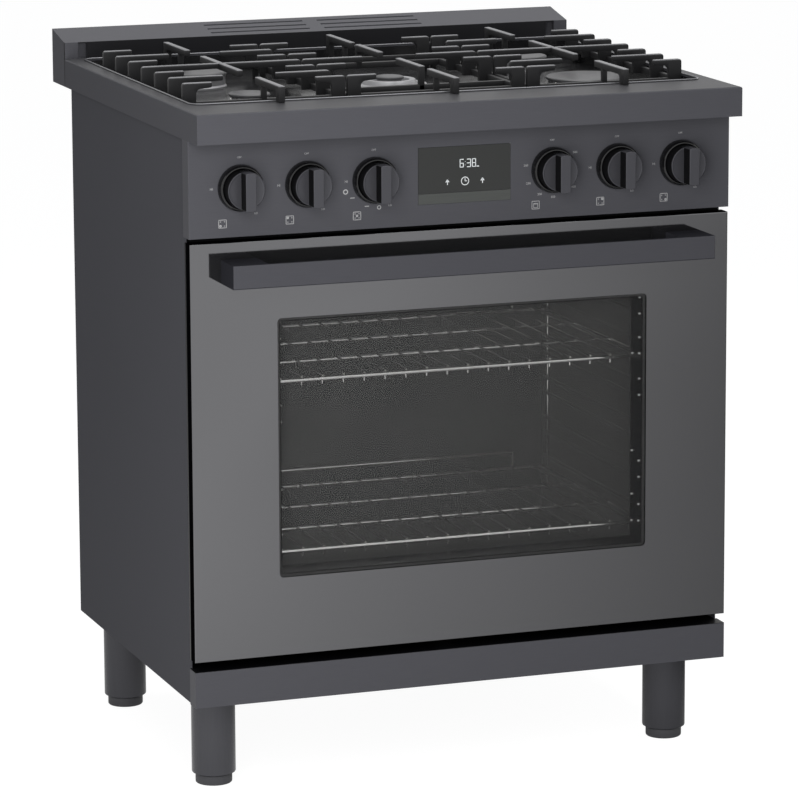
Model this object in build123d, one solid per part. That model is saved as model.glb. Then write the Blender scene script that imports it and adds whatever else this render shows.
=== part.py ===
from build123d import *
import math
import os

os.makedirs("parts", exist_ok=True)

# A freestanding gas range with five burners and one oven.
# Millimetres. +Z is up, the front looks along -Y, and the floor is Z = 0.
# "Depth" values are measured backwards from the front plane of the cooktop rim.

# ---- driving dimensions: body ---------------------------------------------------
RANGE_WIDTH = 762.0         # cooktop rim, side to side
RIM_DEPTH = 694.6           # cooktop rim, front to back
RIM_TOP = 923.9             # top of the rim above the floor
RIM_HEIGHT = 39.7
RIM_SHEET = 1.5
RIM_EDGE_RADIUS = 2.5
RIM_RETURN = 26.0           # the fold that closes the rim from below
BACKGUARD_REAR_HEIGHT = 36.1
BACKGUARD_FRONT_HEIGHT = 22.8
BACKGUARD_DEPTH = 64.8
END_CAP_WIDTH = 36.0         # solid ends of the backguard
END_GROOVE_START = 20.0      # groove in each end's front, from the outer edge
END_GROOVE_WIDTH = 13.0
END_GROOVE_DEPTH = 8.0
VENT_LENGTH = 149.0
VENT_WIDTH = 5.0
VENT_PITCH = 17.2
VENT_GROUP_GAP = 22.0

SIDE_INSET = 3.3            # side panels stand in from the rim
SIDE_FRONT = 67.0           # depth of the side panels' front edges
BODY_SETBACK = 84.6         # body's back to the rim's rear edge
BASE_HEIGHT = 128.4         # underside of the body above the floor
CASE_SHEET = 1.2
SIDE_FOLD = 18.0
BASE_FLANGE = 30.0
BASE_SETBACK = 97.0         # depth of the base's front flange
REAR_VENT_COUNT = 8
REAR_VENT_PITCH = 76.0
REAR_VENT_LENGTH = 60.0
REAR_VENT_WIDTH = 6.0
REAR_VENT_ROWS = 3
REAR_VENT_ROW_PITCH = 18.0

FACE_SETBACK = 42.0         # depth of the door, fascia and kick panel faces
FACE_SIDE_GAP = 1.0         # door and kick panel are this much shorter at each side
FASCIA_HEIGHT = 128.3
DOOR_GAP_ABOVE = 7.0
DOOR_HEIGHT = 558.9
KICK_HEIGHT = 48.9

# ---- driving dimensions: oven ---------------------------------------------------
CAVITY_MARGIN = 84.0         # rim's side edge to the inside wall
CAVITY_FLOOR = 240.0        # inside floor above the kitchen floor
CAVITY_HEIGHT = 460.0
CAVITY_REAR_GAP = 95.0      # inside rear wall to the body's back
CAVITY_SHEET = 1.5
CAVITY_FLANGE = 12.0
CAVITY_CORNER = 10.0
FRAME_SHEET = 2.0
FRAME_LOW_RAIL = 14.0       # front frame below the oven mouth
CONTROL_BAY_HEIGHT = 90.0
CONTROL_BAY_WIDTH = 700.0

DOOR_SHELL_DEPTH = 18.5
DOOR_SHEET = 2.0
DOOR_DEPTH = 23.0
DOOR_EDGE_RADIUS = 1.2
LINER_SHEET = 1.5
PLUG_DEPTH = 23.0           # how far the liner's plug reaches into the oven
PLUG_CLEARANCE = 6.0
PLUG_CORNER = 12.0
WINDOW_MARGIN = 119.3        # rim's side edge to the window
WINDOW_HEIGHT = 348.8
WINDOW_BOTTOM = 295.8
WINDOW_GLASS = 4.0
WINDOW_CORNER = 6.0
INNER_GLASS_SETBACK = 2.0    # inner pane behind the plug's back
INNER_WINDOW_MARGIN = 5.0   # the inner window is this much smaller all round
GLASS_CLEARANCE = 0.3
GASKET_WIDTH = 10.0
GASKET_LOW_WIDTH = 8.0       # narrower below the oven mouth
GASKET_CORNER = 12.0
GASKET_GAP = 0.3

HANDLE_MARGIN = 43.0         # rim's side edge to the handle's end
HANDLE_HEIGHT = 31.1
HANDLE_REACH = 54.0         # front of the handle to the door face
HANDLE_POST_WIDTH = 49.0
HANDLE_BAR = 6.0
HANDLE_BOTTOM = 695.6
HANDLE_EDGE_RADIUS = 1.0

HINGE_DEPTH = 56.0          # axis on which the door turns
HINGE_RISE = 5.5            # axis above the door's lower edge
HINGE_OFFSET = 43.0         # hinges outside the oven's inner walls
HINGE_BOSS_RADIUS = 5.0
HINGE_PIN_RADIUS = 2.5
HINGE_ARM = 4.0
HINGE_CHEEK = 2.0
HINGE_SIDE_GAP = 0.5
HINGE_RELIEF = 2.0          # room round the arm in the door's slot
RUNNING_CLEARANCE = 0.05
HINGE_ARM_LENGTH = 58.0
HINGE_UPRIGHT = 85.0
HINGE_POST_GAP = 12.0       # upright's front edge behind the front frame
HINGE_PLATE_WIDTH = 20.0
HINGE_PLATE_SHEET = 2.0
HINGE_PLATE_HEIGHT = 61.0
HINGE_CASE_DEPTH = 12.0
HINGE_CASE_HEIGHT = 130.0

RACK_HEIGHTS = {"lower": 314.0, "upper": 547.0}
RACK_FRONT = 108.0
RACK_REAR = 486.0
RACK_WIRE = 3.2
RACK_FRAME_WIRE = 6.0
RACK_WIRE_COUNT = 19
RACK_WIRE_PITCH = 29.6
RACK_CROSS_WIRES = 4
RACK_TICK = 13.0            # front ends bent down
RACK_BACKSTOP = 24.0        # raised wire at the rear
RACK_REST_GAP = 0.3
WELD = 0.4                  # depth to which welded wires sink into each other
GUIDE_WIRE = 5.0
GUIDE_LEVELS = 6
GUIDE_WALL_GAP = 0.3
GUIDE_POST_END = 20.0       # posts reach past the rails, and stand in from the rails' ends
BAKE_RADIUS = 14.0
BAKE_WALL = 2.0
BAKE_FRONT_GAP = 60.0       # burner's front behind the front frame
BAKE_REAR_GAP = 30.0
BAKE_STRAP_WIDTH = 30.0
BROIL_WIDTH = 140.0
BROIL_HEIGHT = 24.0
BROIL_DROP = 12.0           # burner's top below the oven ceiling
BROIL_WALL = 4.0
BROIL_RECESS = 5.0
BROIL_FRONT_GAP = 90.0
BROIL_REAR_GAP = 80.0
BROIL_CORNER = 6.0
BROIL_HANGER_WIDTH = 40.0
HANGER_SHEET = 2.0
HANGER_INSET = 30.0         # hangers and straps in from the burners' ends
LAMP_INSET = 100.0          # lamp in from the oven's side wall
LAMP_DROP = 70.0            # lamp below the ceiling
LAMP_RING_RADIUS = 24.0
LAMP_RING_DEPTH = 6.0
LAMP_GLASS_RADIUS = 20.0
LAMP_GLASS_LENGTH = 18.0

# ---- driving dimensions: controls -----------------------------------------------
KNOB_OFFSETS = (125.7, 218.5, 310.4)
KNOB_HEIGHT = 820.0
KNOB_RADIUS = 25.3
KNOB_DISC_FRONT = 28.0      # front of the knob's disc ahead of the fascia
KNOB_GRIP_FRONT = 47.0      # front of the knob's grip ahead of the fascia
KNOB_GRIP_WIDTH = 14.6
KNOB_EDGE = 1.5
KNOB_REAR_GAP = 3.5
KNOB_PUSH = 3.0
BEZEL_RADIUS = 31.0
BEZEL_FRONT_RADIUS = 28.5
BEZEL_DEPTH = 11.0
BEZEL_FOOT = 3.0            # straight part of the bezel next to the fascia
BEZEL_CLEARANCE = 1.0
STEM_RADIUS = 4.0
STEM_COLLAR_RADIUS = 7.0
STEM_COLLAR_LENGTH = 3.0
STEM_COLLAR_GAP = 2.0
STEM_TAIL = 25.0            # stem inside the valve
STEM_END_GAP = 2.0
FASCIA_HOLE_RADIUS = 6.0
STEM_SOCKET = 17.0          # length of stem inside the knob
FASCIA_SHEET = 1.2
FASCIA_EDGE_RADIUS = 1.0
DISPLAY_WIDTH = 130.5
DISPLAY_HEIGHT = 61.8
DISPLAY_BOTTOM = 797.4
DISPLAY_GLASS = 3.0
DISPLAY_PROUD = 0.3         # glass ahead of the fascia
MODULE_WIDTH = 90.0
MODULE_HEIGHT = 32.0
MODULE_DEPTH = 8.0
BOARD_WIDTH = 120.0
BOARD_HEIGHT = 52.0
BOARD_SHEET = 1.6
STRIP_HEIGHT = 14.2
PIPE_RADIUS = 10.65         # half-inch steel pipe
PIPE_WALL = 2.6
MANIFOLD_DEPTH = 106.0
MANIFOLD_END = 25.0         # pipe beyond the last valve
PIPE_BEND_RATIO = 2.2       # bend radius over pipe radius
VALVE_RADIUS = 11.0
VALVE_FRONT = 60.0          # depth of the valves' front faces
VALVE_FLANGE = 6.0
VALVE_FLANGE_MARGIN = 3.0
SPIGOT_RADIUS = 3.8
SPIGOT_CLEARANCE = 0.2
SPIGOT_END_GAP = 0.5
INLET_MARGIN = 41.0         # rim's side edge to the gas inlet
INLET_COLLAR_RADIUS = 15.0
INLET_COLLAR_PROUD = 2.0
INLET_STUB = 33.0           # free length of the gas pipe behind its collar
REGULATOR_LENGTH = 60.0
REGULATOR_RADIUS = 26.0
REGULATOR_WIDTH = 36.0
REGULATOR_COVER = 14.0

# ---- driving dimensions: cooktop -------------------------------------------------
WELL_SIDE = 23.0            # rim's edge to the well, left and right
WELL_FRONT = 90.0
WELL_REAR_MARGIN = 82.6     # rim's rear edge to the well
WELL_CORNER = 14.0
LIP_WIDTH = 3.0
LIP_HEIGHT = 1.2
PAN_DEPTH = 26.0
PAN_SHEET = 1.2
PAN_FLANGE = 9.0
PAN_HOLE_MARGIN = 4.0       # heads' hollows over the holes in the pan
CENTRE_HOLE_MARGIN = 6.0
BURNER_MIDDLE_BACK = 276.0  # middle burner ahead of the well's rear
BURNER_SPREAD = 124.0       # front and rear burners from the middle one
BURNER_CAP_RADII = {"front_left": 28.0, "rear_left": 46.0, "front_right": 56.0, "rear_right": 37.0}
CAP_THICKNESS = 4.5
CAP_EDGE = 1.6
CAP_OVERHANG = 3.0
HEAD_HEIGHT = 18.5
HEAD_WALL = 4.0
HEAD_FLANGE = 2.0           # base wider than the crown all round
HEAD_FLANGE_HEIGHT = 3.0
HEAD_SHOULDER = 5.0         # height at which the crown's wall starts
PORT_COUNT = 16
PORT_WIDTH = 2.0
PORT_HEIGHT = 3.0
CENTRE_RING_RADIUS = 52.0
CENTRE_STEP_RADIUS = 36.0
CENTRE_TROUGH = 8.0         # width of the raised step
CENTRE_SLOPE = 2.0
CENTRE_STEP_SLOPE = 3.0
CENTRE_CAP_RADIUS = 20.0
CENTRE_RING_HEIGHT = 9.0
CENTRE_STEP_HEIGHT = 15.0
IGNITER_RADIUS = 2.6
IGNITER_TIP_RADIUS = 1.0
IGNITER_TIP = 5.0           # electrode above the ceramic
IGNITER_GAP = 3.0
IGNITER_ANGLE = 205.0
FLUE_SIDE_MARGIN = 60.0
FLUE_MARGIN = 12.0

# ---- driving dimensions: grates -----------------------------------------------------
GRATE_TOP = 946.0
GRATE_SIDE_MARGIN = 25.5    # rim's side edge to the side grates
GRATE_SEAM = 128.0          # seam between grates from the middle
GRATE_SEAM_GAP = 3.0
GRATE_ROW_PITCH = 62.3
GRATE_ROWS = 7
GRATE_BAR = 7.0             # thickness of the bars, front to back
GRATE_BAR_HEIGHT = 9.0
GRATE_LEG_WIDTH = 19.0
GRATE_CORNER = 4.0
GRATE_RAIL_DROP = 25.0      # top of the low rails below the grate top
GRATE_RAIL_HEIGHT = 9.0
GRATE_RAIL_WIDTH = 8.0
SHORT_FINGER = 41.0
LONG_FINGER = 76.0
CENTRE_FINGER = 87.0
SPINE_WIDTH = 8.0           # bars that run front to back
SPINE_FRONT = 71.0
SPINE_REAR_GAP = 17.0       # spines' rear ends ahead of the well's rear
SPINE_FRONT_TIP = 161.0     # front spines' inner ends ahead of the middle burner
SPINE_REAR_TIP = 155.0      # rear spines' inner ends behind it
SPINE_MIDDLE_LENGTH = 169.0 # spine bar between two burners
SPINE_CENTRE_GAP = 72.0     # open length over the middle burner
SPINE_CENTRE_LENGTH = 96.0
SPINE_FOOT = 15.0

# ---- driving dimensions: legs -----------------------------------------------------
LEG_MARGIN = 52.3           # rim's side edge to the legs' middle
LEG_FRONT = 131.4
LEG_REAR_GAP = 54.6         # rear legs ahead of the body's back
SLEEVE_RADIUS = 29.7
SLEEVE_WALL = 1.5
FOOT_RADIUS = 24.8
FOOT_HEIGHT = 14.2
FOOT_GAP = 0.3
STUD_RADIUS = 6.0
STUD_LENGTH = 84.0
LEG_NUT_HEIGHT = 12.0
LEG_CAP = 3.0
STUD_HOLE_MARGIN = 2.0
FOOT_EDGE = 2.0
OVERCUT = 1.0               # cuts run past the face they open by this

# ---- places worked out from the dimensions ----------------------------------------
HALF_WIDTH = RANGE_WIDTH / 2
BODY_REAR = RIM_DEPTH - BODY_SETBACK
RISER_FRONT = RIM_DEPTH - BACKGUARD_DEPTH
FRONT_Y = -(RIM_DEPTH - (HANDLE_REACH - FACE_SETBACK)) / 2
RIM_BOTTOM = RIM_TOP - RIM_HEIGHT
SIDE_X = HALF_WIDTH - SIDE_INSET
INNER_X = SIDE_X - CASE_SHEET
FASCIA_BOTTOM = RIM_BOTTOM - FASCIA_HEIGHT
DOOR_TOP = FASCIA_BOTTOM - DOOR_GAP_ABOVE
DOOR_BOTTOM = DOOR_TOP - DOOR_HEIGHT
KICK_TOP = BASE_HEIGHT + KICK_HEIGHT
FACE_X = HALF_WIDTH - FACE_SIDE_GAP
CAVITY_TOP = CAVITY_FLOOR + CAVITY_HEIGHT
CAVITY_X = HALF_WIDTH - CAVITY_MARGIN
CAVITY_REAR = BODY_REAR - CAVITY_REAR_GAP
CAVITY_FRONT = SIDE_FRONT + FRAME_SHEET
LINER_BACK = FACE_SETBACK + DOOR_DEPTH
PLUG_BACK = LINER_BACK + PLUG_DEPTH
PAN_FLOOR = RIM_TOP - PAN_DEPTH
WELL_X = HALF_WIDTH - WELL_SIDE
WELL_REAR = RIM_DEPTH - WELL_REAR_MARGIN
INLET_X = HALF_WIDTH - INLET_MARGIN
HINGE_X = CAVITY_X + HINGE_OFFSET
HINGE_HEIGHT = DOOR_BOTTOM + HINGE_RISE
KNOB_XS = [-x for x in reversed(KNOB_OFFSETS)] + list(KNOB_OFFSETS)
STEM_FRONT = FACE_SETBACK - KNOB_REAR_GAP - STEM_SOCKET
STEM_REAR = VALVE_FRONT + STEM_TAIL
GRATE_RAIL_TOP = GRATE_TOP - GRATE_RAIL_DROP
GRATE_RAIL_BOTTOM = GRATE_RAIL_TOP - GRATE_RAIL_HEIGHT
GRATE_REACH = HALF_WIDTH - GRATE_SIDE_MARGIN
SPINE_REAR = WELL_REAR - SPINE_REAR_GAP
BURNER_X = (GRATE_SEAM + GRATE_SEAM_GAP / 2 + GRATE_REACH) / 2
BURNER_MIDDLE = WELL_REAR - BURNER_MIDDLE_BACK
BURNER_FRONT = BURNER_MIDDLE - BURNER_SPREAD
BURNER_REAR = BURNER_MIDDLE + BURNER_SPREAD
ROW_DEPTHS = [BURNER_MIDDLE + (i - (GRATE_ROWS - 1) / 2) * GRATE_ROW_PITCH for i in range(GRATE_ROWS)]
LEG_X = HALF_WIDTH - LEG_MARGIN
LEG_REAR = BODY_REAR - LEG_REAR_GAP
GUIDE_POST_X = CAVITY_X - GUIDE_WALL_GAP - GUIDE_WIRE / 2
GUIDE_RAIL_X = GUIDE_POST_X - GUIDE_WIRE + WELD
RACK_SIDE_X = GUIDE_POST_X - (GUIDE_WIRE + RACK_FRAME_WIRE) / 2 - RACK_REST_GAP


def behind(depth):
    """Y of a plane that lies this far behind the rim's front."""
    return FRONT_Y + depth


def block(x0, x1, d0, d1, z0, z1):
    """A plate or bar between two X, two depths and two heights."""
    size = Box(x1 - x0, d1 - d0, z1 - z0)
    return Pos((x0 + x1) / 2, behind((d0 + d1) / 2), (z0 + z1) / 2) * size


def tube_wire(start, end, width):
    """A drawn wire between two points, eight-sided, its flats square to the axes."""
    path = Line(start, end)
    plane = Plane(origin=start, z_dir=path % 0)
    across = width / math.cos(math.pi / 8) / 2
    section = plane * (Rot(0, 0, 22.5) * RegularPolygon(across, 8))
    return extrude(section, amount=path.length)


def rod(x, depth0, depth1, z, radius):
    """A round bar along Y."""
    length = depth1 - depth0
    return Pos(x, behind((depth0 + depth1) / 2), z) * Rot(90, 0, 0) * Cylinder(radius, length)


def upright(x, depth, z0, z1, radius):
    """A round bar along Z."""
    return Pos(x, behind(depth), (z0 + z1) / 2) * Cylinder(radius, z1 - z0)


def side_profile(points, x0, x1):
    """A (depth, height) outline, extruded from x0 to x1."""
    outline = Polyline(*[(0, behind(d), z) for d, z in points], close=True)
    return Pos(x0, 0, 0) * extrude(make_face(outline), amount=x1 - x0, dir=(1, 0, 0))


def save(shape, node):
    export_step(shape, "parts/" + node + ".step")


# ---- casing -----------------------------------------------------------------------
def side_panel(side):
    """Folded sheet: a flat side with one fold at the back."""
    flat = block(INNER_X, SIDE_X, SIDE_FRONT, BODY_REAR, BASE_HEIGHT, RIM_BOTTOM)
    fold = block(SIDE_X - SIDE_FOLD, SIDE_X, BODY_REAR - CASE_SHEET, BODY_REAR, BASE_HEIGHT, RIM_BOTTOM)
    panel = flat + fold
    return panel if side > 0 else mirror(panel, about=Plane.YZ)


def rear_panel():
    """Galvanised back with rows of louvre slots and the hole for the gas pipe."""
    back = BODY_REAR - CASE_SHEET
    panel = block(-INNER_X, INNER_X, back - CASE_SHEET, back, BASE_HEIGHT, RIM_BOTTOM)
    middle = (CAVITY_TOP + RIM_BOTTOM) / 2
    slot = Box(REAR_VENT_LENGTH, 4 * CASE_SHEET, REAR_VENT_WIDTH)
    for place in GridLocations(REAR_VENT_PITCH, REAR_VENT_ROW_PITCH, REAR_VENT_COUNT, REAR_VENT_ROWS):
        panel -= Pos(place.position.X, behind(back), middle + place.position.Y) * slot
    hole = rod(-INLET_X, back - 2 * CASE_SHEET, BODY_REAR, KNOB_HEIGHT, INLET_COLLAR_RADIUS + GLASS_CLEARANCE)
    return panel - hole


def base_frame():
    """Bottom tray with turned-up flanges; the legs bolt to it."""
    rear = BODY_REAR - 2 * CASE_SHEET
    outer = block(-INNER_X, INNER_X, BASE_SETBACK, rear, BASE_HEIGHT, BASE_HEIGHT + BASE_FLANGE)
    wall = 2 * CASE_SHEET
    inner = block(-INNER_X + wall, INNER_X - wall, BASE_SETBACK + wall, rear - wall,
                  BASE_HEIGHT + wall, BASE_HEIGHT + BASE_FLANGE)
    tray = outer - inner
    for _, _, x, depth in leg_places():
        tray -= upright(x, depth, BASE_HEIGHT, BASE_HEIGHT + wall, STUD_RADIUS + STUD_HOLE_MARGIN)
    return tray


def front_frame():
    """Face frame of the oven: a plate with two side folds, the oven mouth and the control bay."""
    low = CAVITY_FLOOR - FRAME_LOW_RAIL
    plate = block(-INNER_X, INNER_X, SIDE_FRONT, SIDE_FRONT + FRAME_SHEET, low, RIM_BOTTOM)
    fold = block(INNER_X - FRAME_SHEET, INNER_X, SIDE_FRONT, SIDE_FRONT + SIDE_FOLD, low, RIM_BOTTOM)
    mouth = block(-CAVITY_X, CAVITY_X, SIDE_FRONT, CAVITY_FRONT, CAVITY_FLOOR, CAVITY_TOP)
    bay = block(-CONTROL_BAY_WIDTH / 2, CONTROL_BAY_WIDTH / 2, SIDE_FRONT, CAVITY_FRONT,
                KNOB_HEIGHT - CONTROL_BAY_HEIGHT / 2, KNOB_HEIGHT + CONTROL_BAY_HEIGHT / 2)
    return plate + fold + mirror(fold, about=Plane.YZ) - mouth - bay


def kick_panel():
    """Panel under the door: face, top and bottom folds back to the base, and side folds."""
    sheet = CASE_SHEET
    face = block(-FACE_X, FACE_X, FACE_SETBACK, FACE_SETBACK + sheet, BASE_HEIGHT, KICK_TOP)
    top = block(-FACE_X, FACE_X, FACE_SETBACK, SIDE_FRONT, KICK_TOP - sheet, KICK_TOP)
    shelf = block(-INNER_X + GLASS_CLEARANCE, INNER_X - GLASS_CLEARANCE, FACE_SETBACK, BASE_SETBACK,
                  KICK_TOP - sheet, KICK_TOP)
    floor = block(-INNER_X + GLASS_CLEARANCE, INNER_X - GLASS_CLEARANCE, FACE_SETBACK, BASE_SETBACK,
                  BASE_HEIGHT, BASE_HEIGHT + sheet)
    end = block(FACE_X - sheet, FACE_X, FACE_SETBACK, SIDE_FRONT, BASE_HEIGHT, KICK_TOP)
    edges = face.edges().filter_by(Axis.X).sort_by(Axis.Y)[:2]
    face = fillet(edges, sheet / 2)
    return face + top + shelf + floor + end + mirror(end, about=Plane.YZ)


# ---- oven ---------------------------------------------------------------------------
def oven_cavity():
    """Enamelled box, open at the front, with a flange welded to the front frame."""
    sheet = CAVITY_SHEET
    outer = block(-CAVITY_X - sheet, CAVITY_X + sheet, CAVITY_FRONT, CAVITY_REAR + sheet,
                  CAVITY_FLOOR - sheet, CAVITY_TOP + sheet)
    flange = block(-CAVITY_X - CAVITY_FLANGE, CAVITY_X + CAVITY_FLANGE, CAVITY_FRONT, CAVITY_FRONT + sheet,
                   CAVITY_FLOOR - CAVITY_FLANGE, CAVITY_TOP + CAVITY_FLANGE)
    inner = block(-CAVITY_X, CAVITY_X, CAVITY_FRONT, CAVITY_REAR, CAVITY_FLOOR, CAVITY_TOP)
    inner = fillet(inner.edges().filter_by(Axis.Y), CAVITY_CORNER)
    return outer + flange - inner


def guide_heights():
    """Rack positions that the guides offer; both racks lie on one of them."""
    lower = RACK_HEIGHTS["lower"]
    pitch = (RACK_HEIGHTS["upper"] - lower) / (GUIDE_LEVELS - 2)
    return [lower + i * pitch for i in range(GUIDE_LEVELS)]


def rack_guides():
    """Two wire ladders on the side walls that carry the racks."""
    drop = RACK_FRAME_WIRE / 2 + RACK_REST_GAP + GUIDE_WIRE / 2
    rails = [z - drop for z in guide_heights()]
    ladders = []
    for side in (-1, 1):
        ladder = Part()
        for depth in (RACK_FRONT + GUIDE_POST_END, RACK_REAR - GUIDE_POST_END):
            foot = (side * GUIDE_POST_X, behind(depth), rails[0] - GUIDE_POST_END)
            head = (side * GUIDE_POST_X, behind(depth), rails[-1] + GUIDE_POST_END)
            ladder += tube_wire(foot, head, GUIDE_WIRE)
        for z in rails:
            near = (side * GUIDE_RAIL_X, behind(RACK_FRONT - GUIDE_WIRE), z)
            far = (side * GUIDE_RAIL_X, behind(RACK_REAR + GUIDE_WIRE), z)
            ladder += tube_wire(near, far, GUIDE_WIRE)
        ladders.append(ladder)
    return Compound(children=ladders)


def oven_rack(height):
    """Welded rack: a rectangular frame, cross wires, and wires with their front ends bent down."""
    frame_x = RACK_SIDE_X
    front = behind(RACK_FRONT)
    rear = behind(RACK_REAR)
    thick = RACK_FRAME_WIRE
    half = thick / 2
    rack = Part()
    for x in (-frame_x, frame_x):
        rack += tube_wire((x, front - half, height), (x, rear + half, height), thick)
    rack += tube_wire((-frame_x, front, height), (frame_x, front, height), thick)
    rack += tube_wire((-frame_x, rear, height), (frame_x, rear, height), thick)
    for i in range(RACK_CROSS_WIRES):
        y = front + (rear - front) * (i + 1) / (RACK_CROSS_WIRES + 1)
        rack += tube_wire((-frame_x, y, height), (frame_x, y, height), GUIDE_WIRE)
    top = height + half + RACK_WIRE / 2 - WELD
    nose = front - half - RACK_WIRE / 2 + WELD
    reach = RACK_WIRE_PITCH * (RACK_WIRE_COUNT - 1) / 2
    for i in range(RACK_WIRE_COUNT):
        x = -reach + i * RACK_WIRE_PITCH
        rack += tube_wire((x, nose - RACK_WIRE / 2, top), (x, rear + half, top), RACK_WIRE)
        rack += tube_wire((x, nose, top), (x, nose, top - RACK_TICK), RACK_WIRE)
    stop_z = height + RACK_BACKSTOP
    rack += tube_wire((-reach, rear, stop_z), (reach, rear, stop_z), GUIDE_WIRE)
    for x in (-reach, 0, reach):
        rack += tube_wire((x, rear, height), (x, rear, stop_z), GUIDE_WIRE)
    return rack


def bake_burner():
    """Tubular burner under the oven floor, closed at the front, hung from the floor by two straps."""
    height = (CAVITY_FLOOR + BASE_HEIGHT + BASE_FLANGE) / 2
    front = SIDE_FRONT + BAKE_FRONT_GAP
    rear = CAVITY_REAR - BAKE_REAR_GAP
    burner = rod(0, front, rear, height, BAKE_RADIUS)
    burner -= rod(0, front + BAKE_WALL, rear, height, BAKE_RADIUS - BAKE_WALL)
    for depth in (front + HANGER_INSET, rear - HANGER_INSET):
        burner += block(-BAKE_STRAP_WIDTH / 2, BAKE_STRAP_WIDTH / 2, depth - HANGER_SHEET / 2,
                        depth + HANGER_SHEET / 2, height + BAKE_RADIUS - OVERCUT, CAVITY_FLOOR - CAVITY_SHEET)
    return burner


def broil_burner():
    """Infrared burner under the oven ceiling: a shallow box with a recessed face and two hangers."""
    front = SIDE_FRONT + BROIL_FRONT_GAP
    rear = CAVITY_REAR - BROIL_REAR_GAP
    high = CAVITY_TOP - BROIL_DROP
    low = high - BROIL_HEIGHT
    half = BROIL_WIDTH / 2
    wall = BROIL_WALL
    burner = block(-half, half, front, rear, low, high)
    burner = fillet(burner.edges().filter_by(Axis.Y), BROIL_CORNER)
    burner -= block(-half + wall, half - wall, front + wall, rear - wall, low, low + BROIL_RECESS)
    for depth in (front + HANGER_INSET, rear - HANGER_INSET):
        burner += block(-BROIL_HANGER_WIDTH / 2, BROIL_HANGER_WIDTH / 2, depth - HANGER_SHEET / 2,
                        depth + HANGER_SHEET / 2, high, CAVITY_TOP)
    return burner


def oven_lamp():
    """Lamp in the rear wall: a socket ring and a glass."""
    x = CAVITY_X - LAMP_INSET
    z = CAVITY_TOP - LAMP_DROP
    front = CAVITY_REAR - LAMP_RING_DEPTH
    ring = rod(x, front, CAVITY_REAR, z, LAMP_RING_RADIUS)
    return ring + rod(x, front - LAMP_GLASS_LENGTH, front, z, LAMP_GLASS_RADIUS)


def door_gasket():
    """Braided seal round the oven mouth, on the front frame."""
    rear = SIDE_FRONT
    front = LINER_BACK + GASKET_GAP
    mouth_x = CAVITY_X + PLUG_CLEARANCE
    high = CAVITY_TOP + PLUG_CLEARANCE
    low = CAVITY_FLOOR - PLUG_CLEARANCE - GASKET_LOW_WIDTH / 2
    outer = block(-mouth_x - GASKET_WIDTH, mouth_x + GASKET_WIDTH, front, rear, low, high + GASKET_WIDTH)
    inner = block(-mouth_x, mouth_x, front, rear, low + GASKET_LOW_WIDTH, high)
    outer = fillet(outer.edges().filter_by(Axis.Y), GASKET_CORNER)
    return outer - fillet(inner.edges().filter_by(Axis.Y), GASKET_CORNER - GASKET_LOW_WIDTH / 2)


# ---- door ---------------------------------------------------------------------------
def window_cut(margin, front, back):
    half = HALF_WIDTH - WINDOW_MARGIN - margin
    low = WINDOW_BOTTOM + margin
    high = WINDOW_BOTTOM + WINDOW_HEIGHT - margin
    cut = block(-half, half, front, back, low, high)
    return fillet(cut.edges().filter_by(Axis.Y), max(WINDOW_CORNER - margin, LINER_SHEET / 2))


def hinge_slot(side):
    """Slot through the liner and the door's lower edge: room for one hinge's cheeks and the arm's swing."""
    half = HINGE_ARM / 2 + HINGE_SIDE_GAP + HINGE_CHEEK + GLASS_CLEARANCE
    x = side * HINGE_X
    reach = HINGE_BOSS_RADIUS + HINGE_RELIEF
    return block(x - half, x + half, HINGE_DEPTH - reach, LINER_BACK + OVERCUT,
                 DOOR_BOTTOM - OVERCUT, HINGE_HEIGHT + reach)


def door_panel():
    """Outer skin of the door: a face with the window opening, and four returns."""
    back = FACE_SETBACK + DOOR_SHELL_DEPTH
    sheet = DOOR_SHEET
    skin = block(-FACE_X, FACE_X, FACE_SETBACK, back, DOOR_BOTTOM, DOOR_TOP)
    skin = fillet(skin.edges().group_by(Axis.Y)[0], DOOR_EDGE_RADIUS)
    skin -= block(-FACE_X + sheet, FACE_X - sheet, FACE_SETBACK + sheet, back,
                  DOOR_BOTTOM + sheet, DOOR_TOP - sheet)
    skin -= window_cut(0, FACE_SETBACK - OVERCUT, FACE_SETBACK + sheet + OVERCUT)
    for side in (-1, 1):
        skin -= hinge_slot(side)
    return skin


def door_glass():
    """Outer window pane, flush with the door's face."""
    return window_cut(GLASS_CLEARANCE, FACE_SETBACK, FACE_SETBACK + WINDOW_GLASS)


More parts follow.
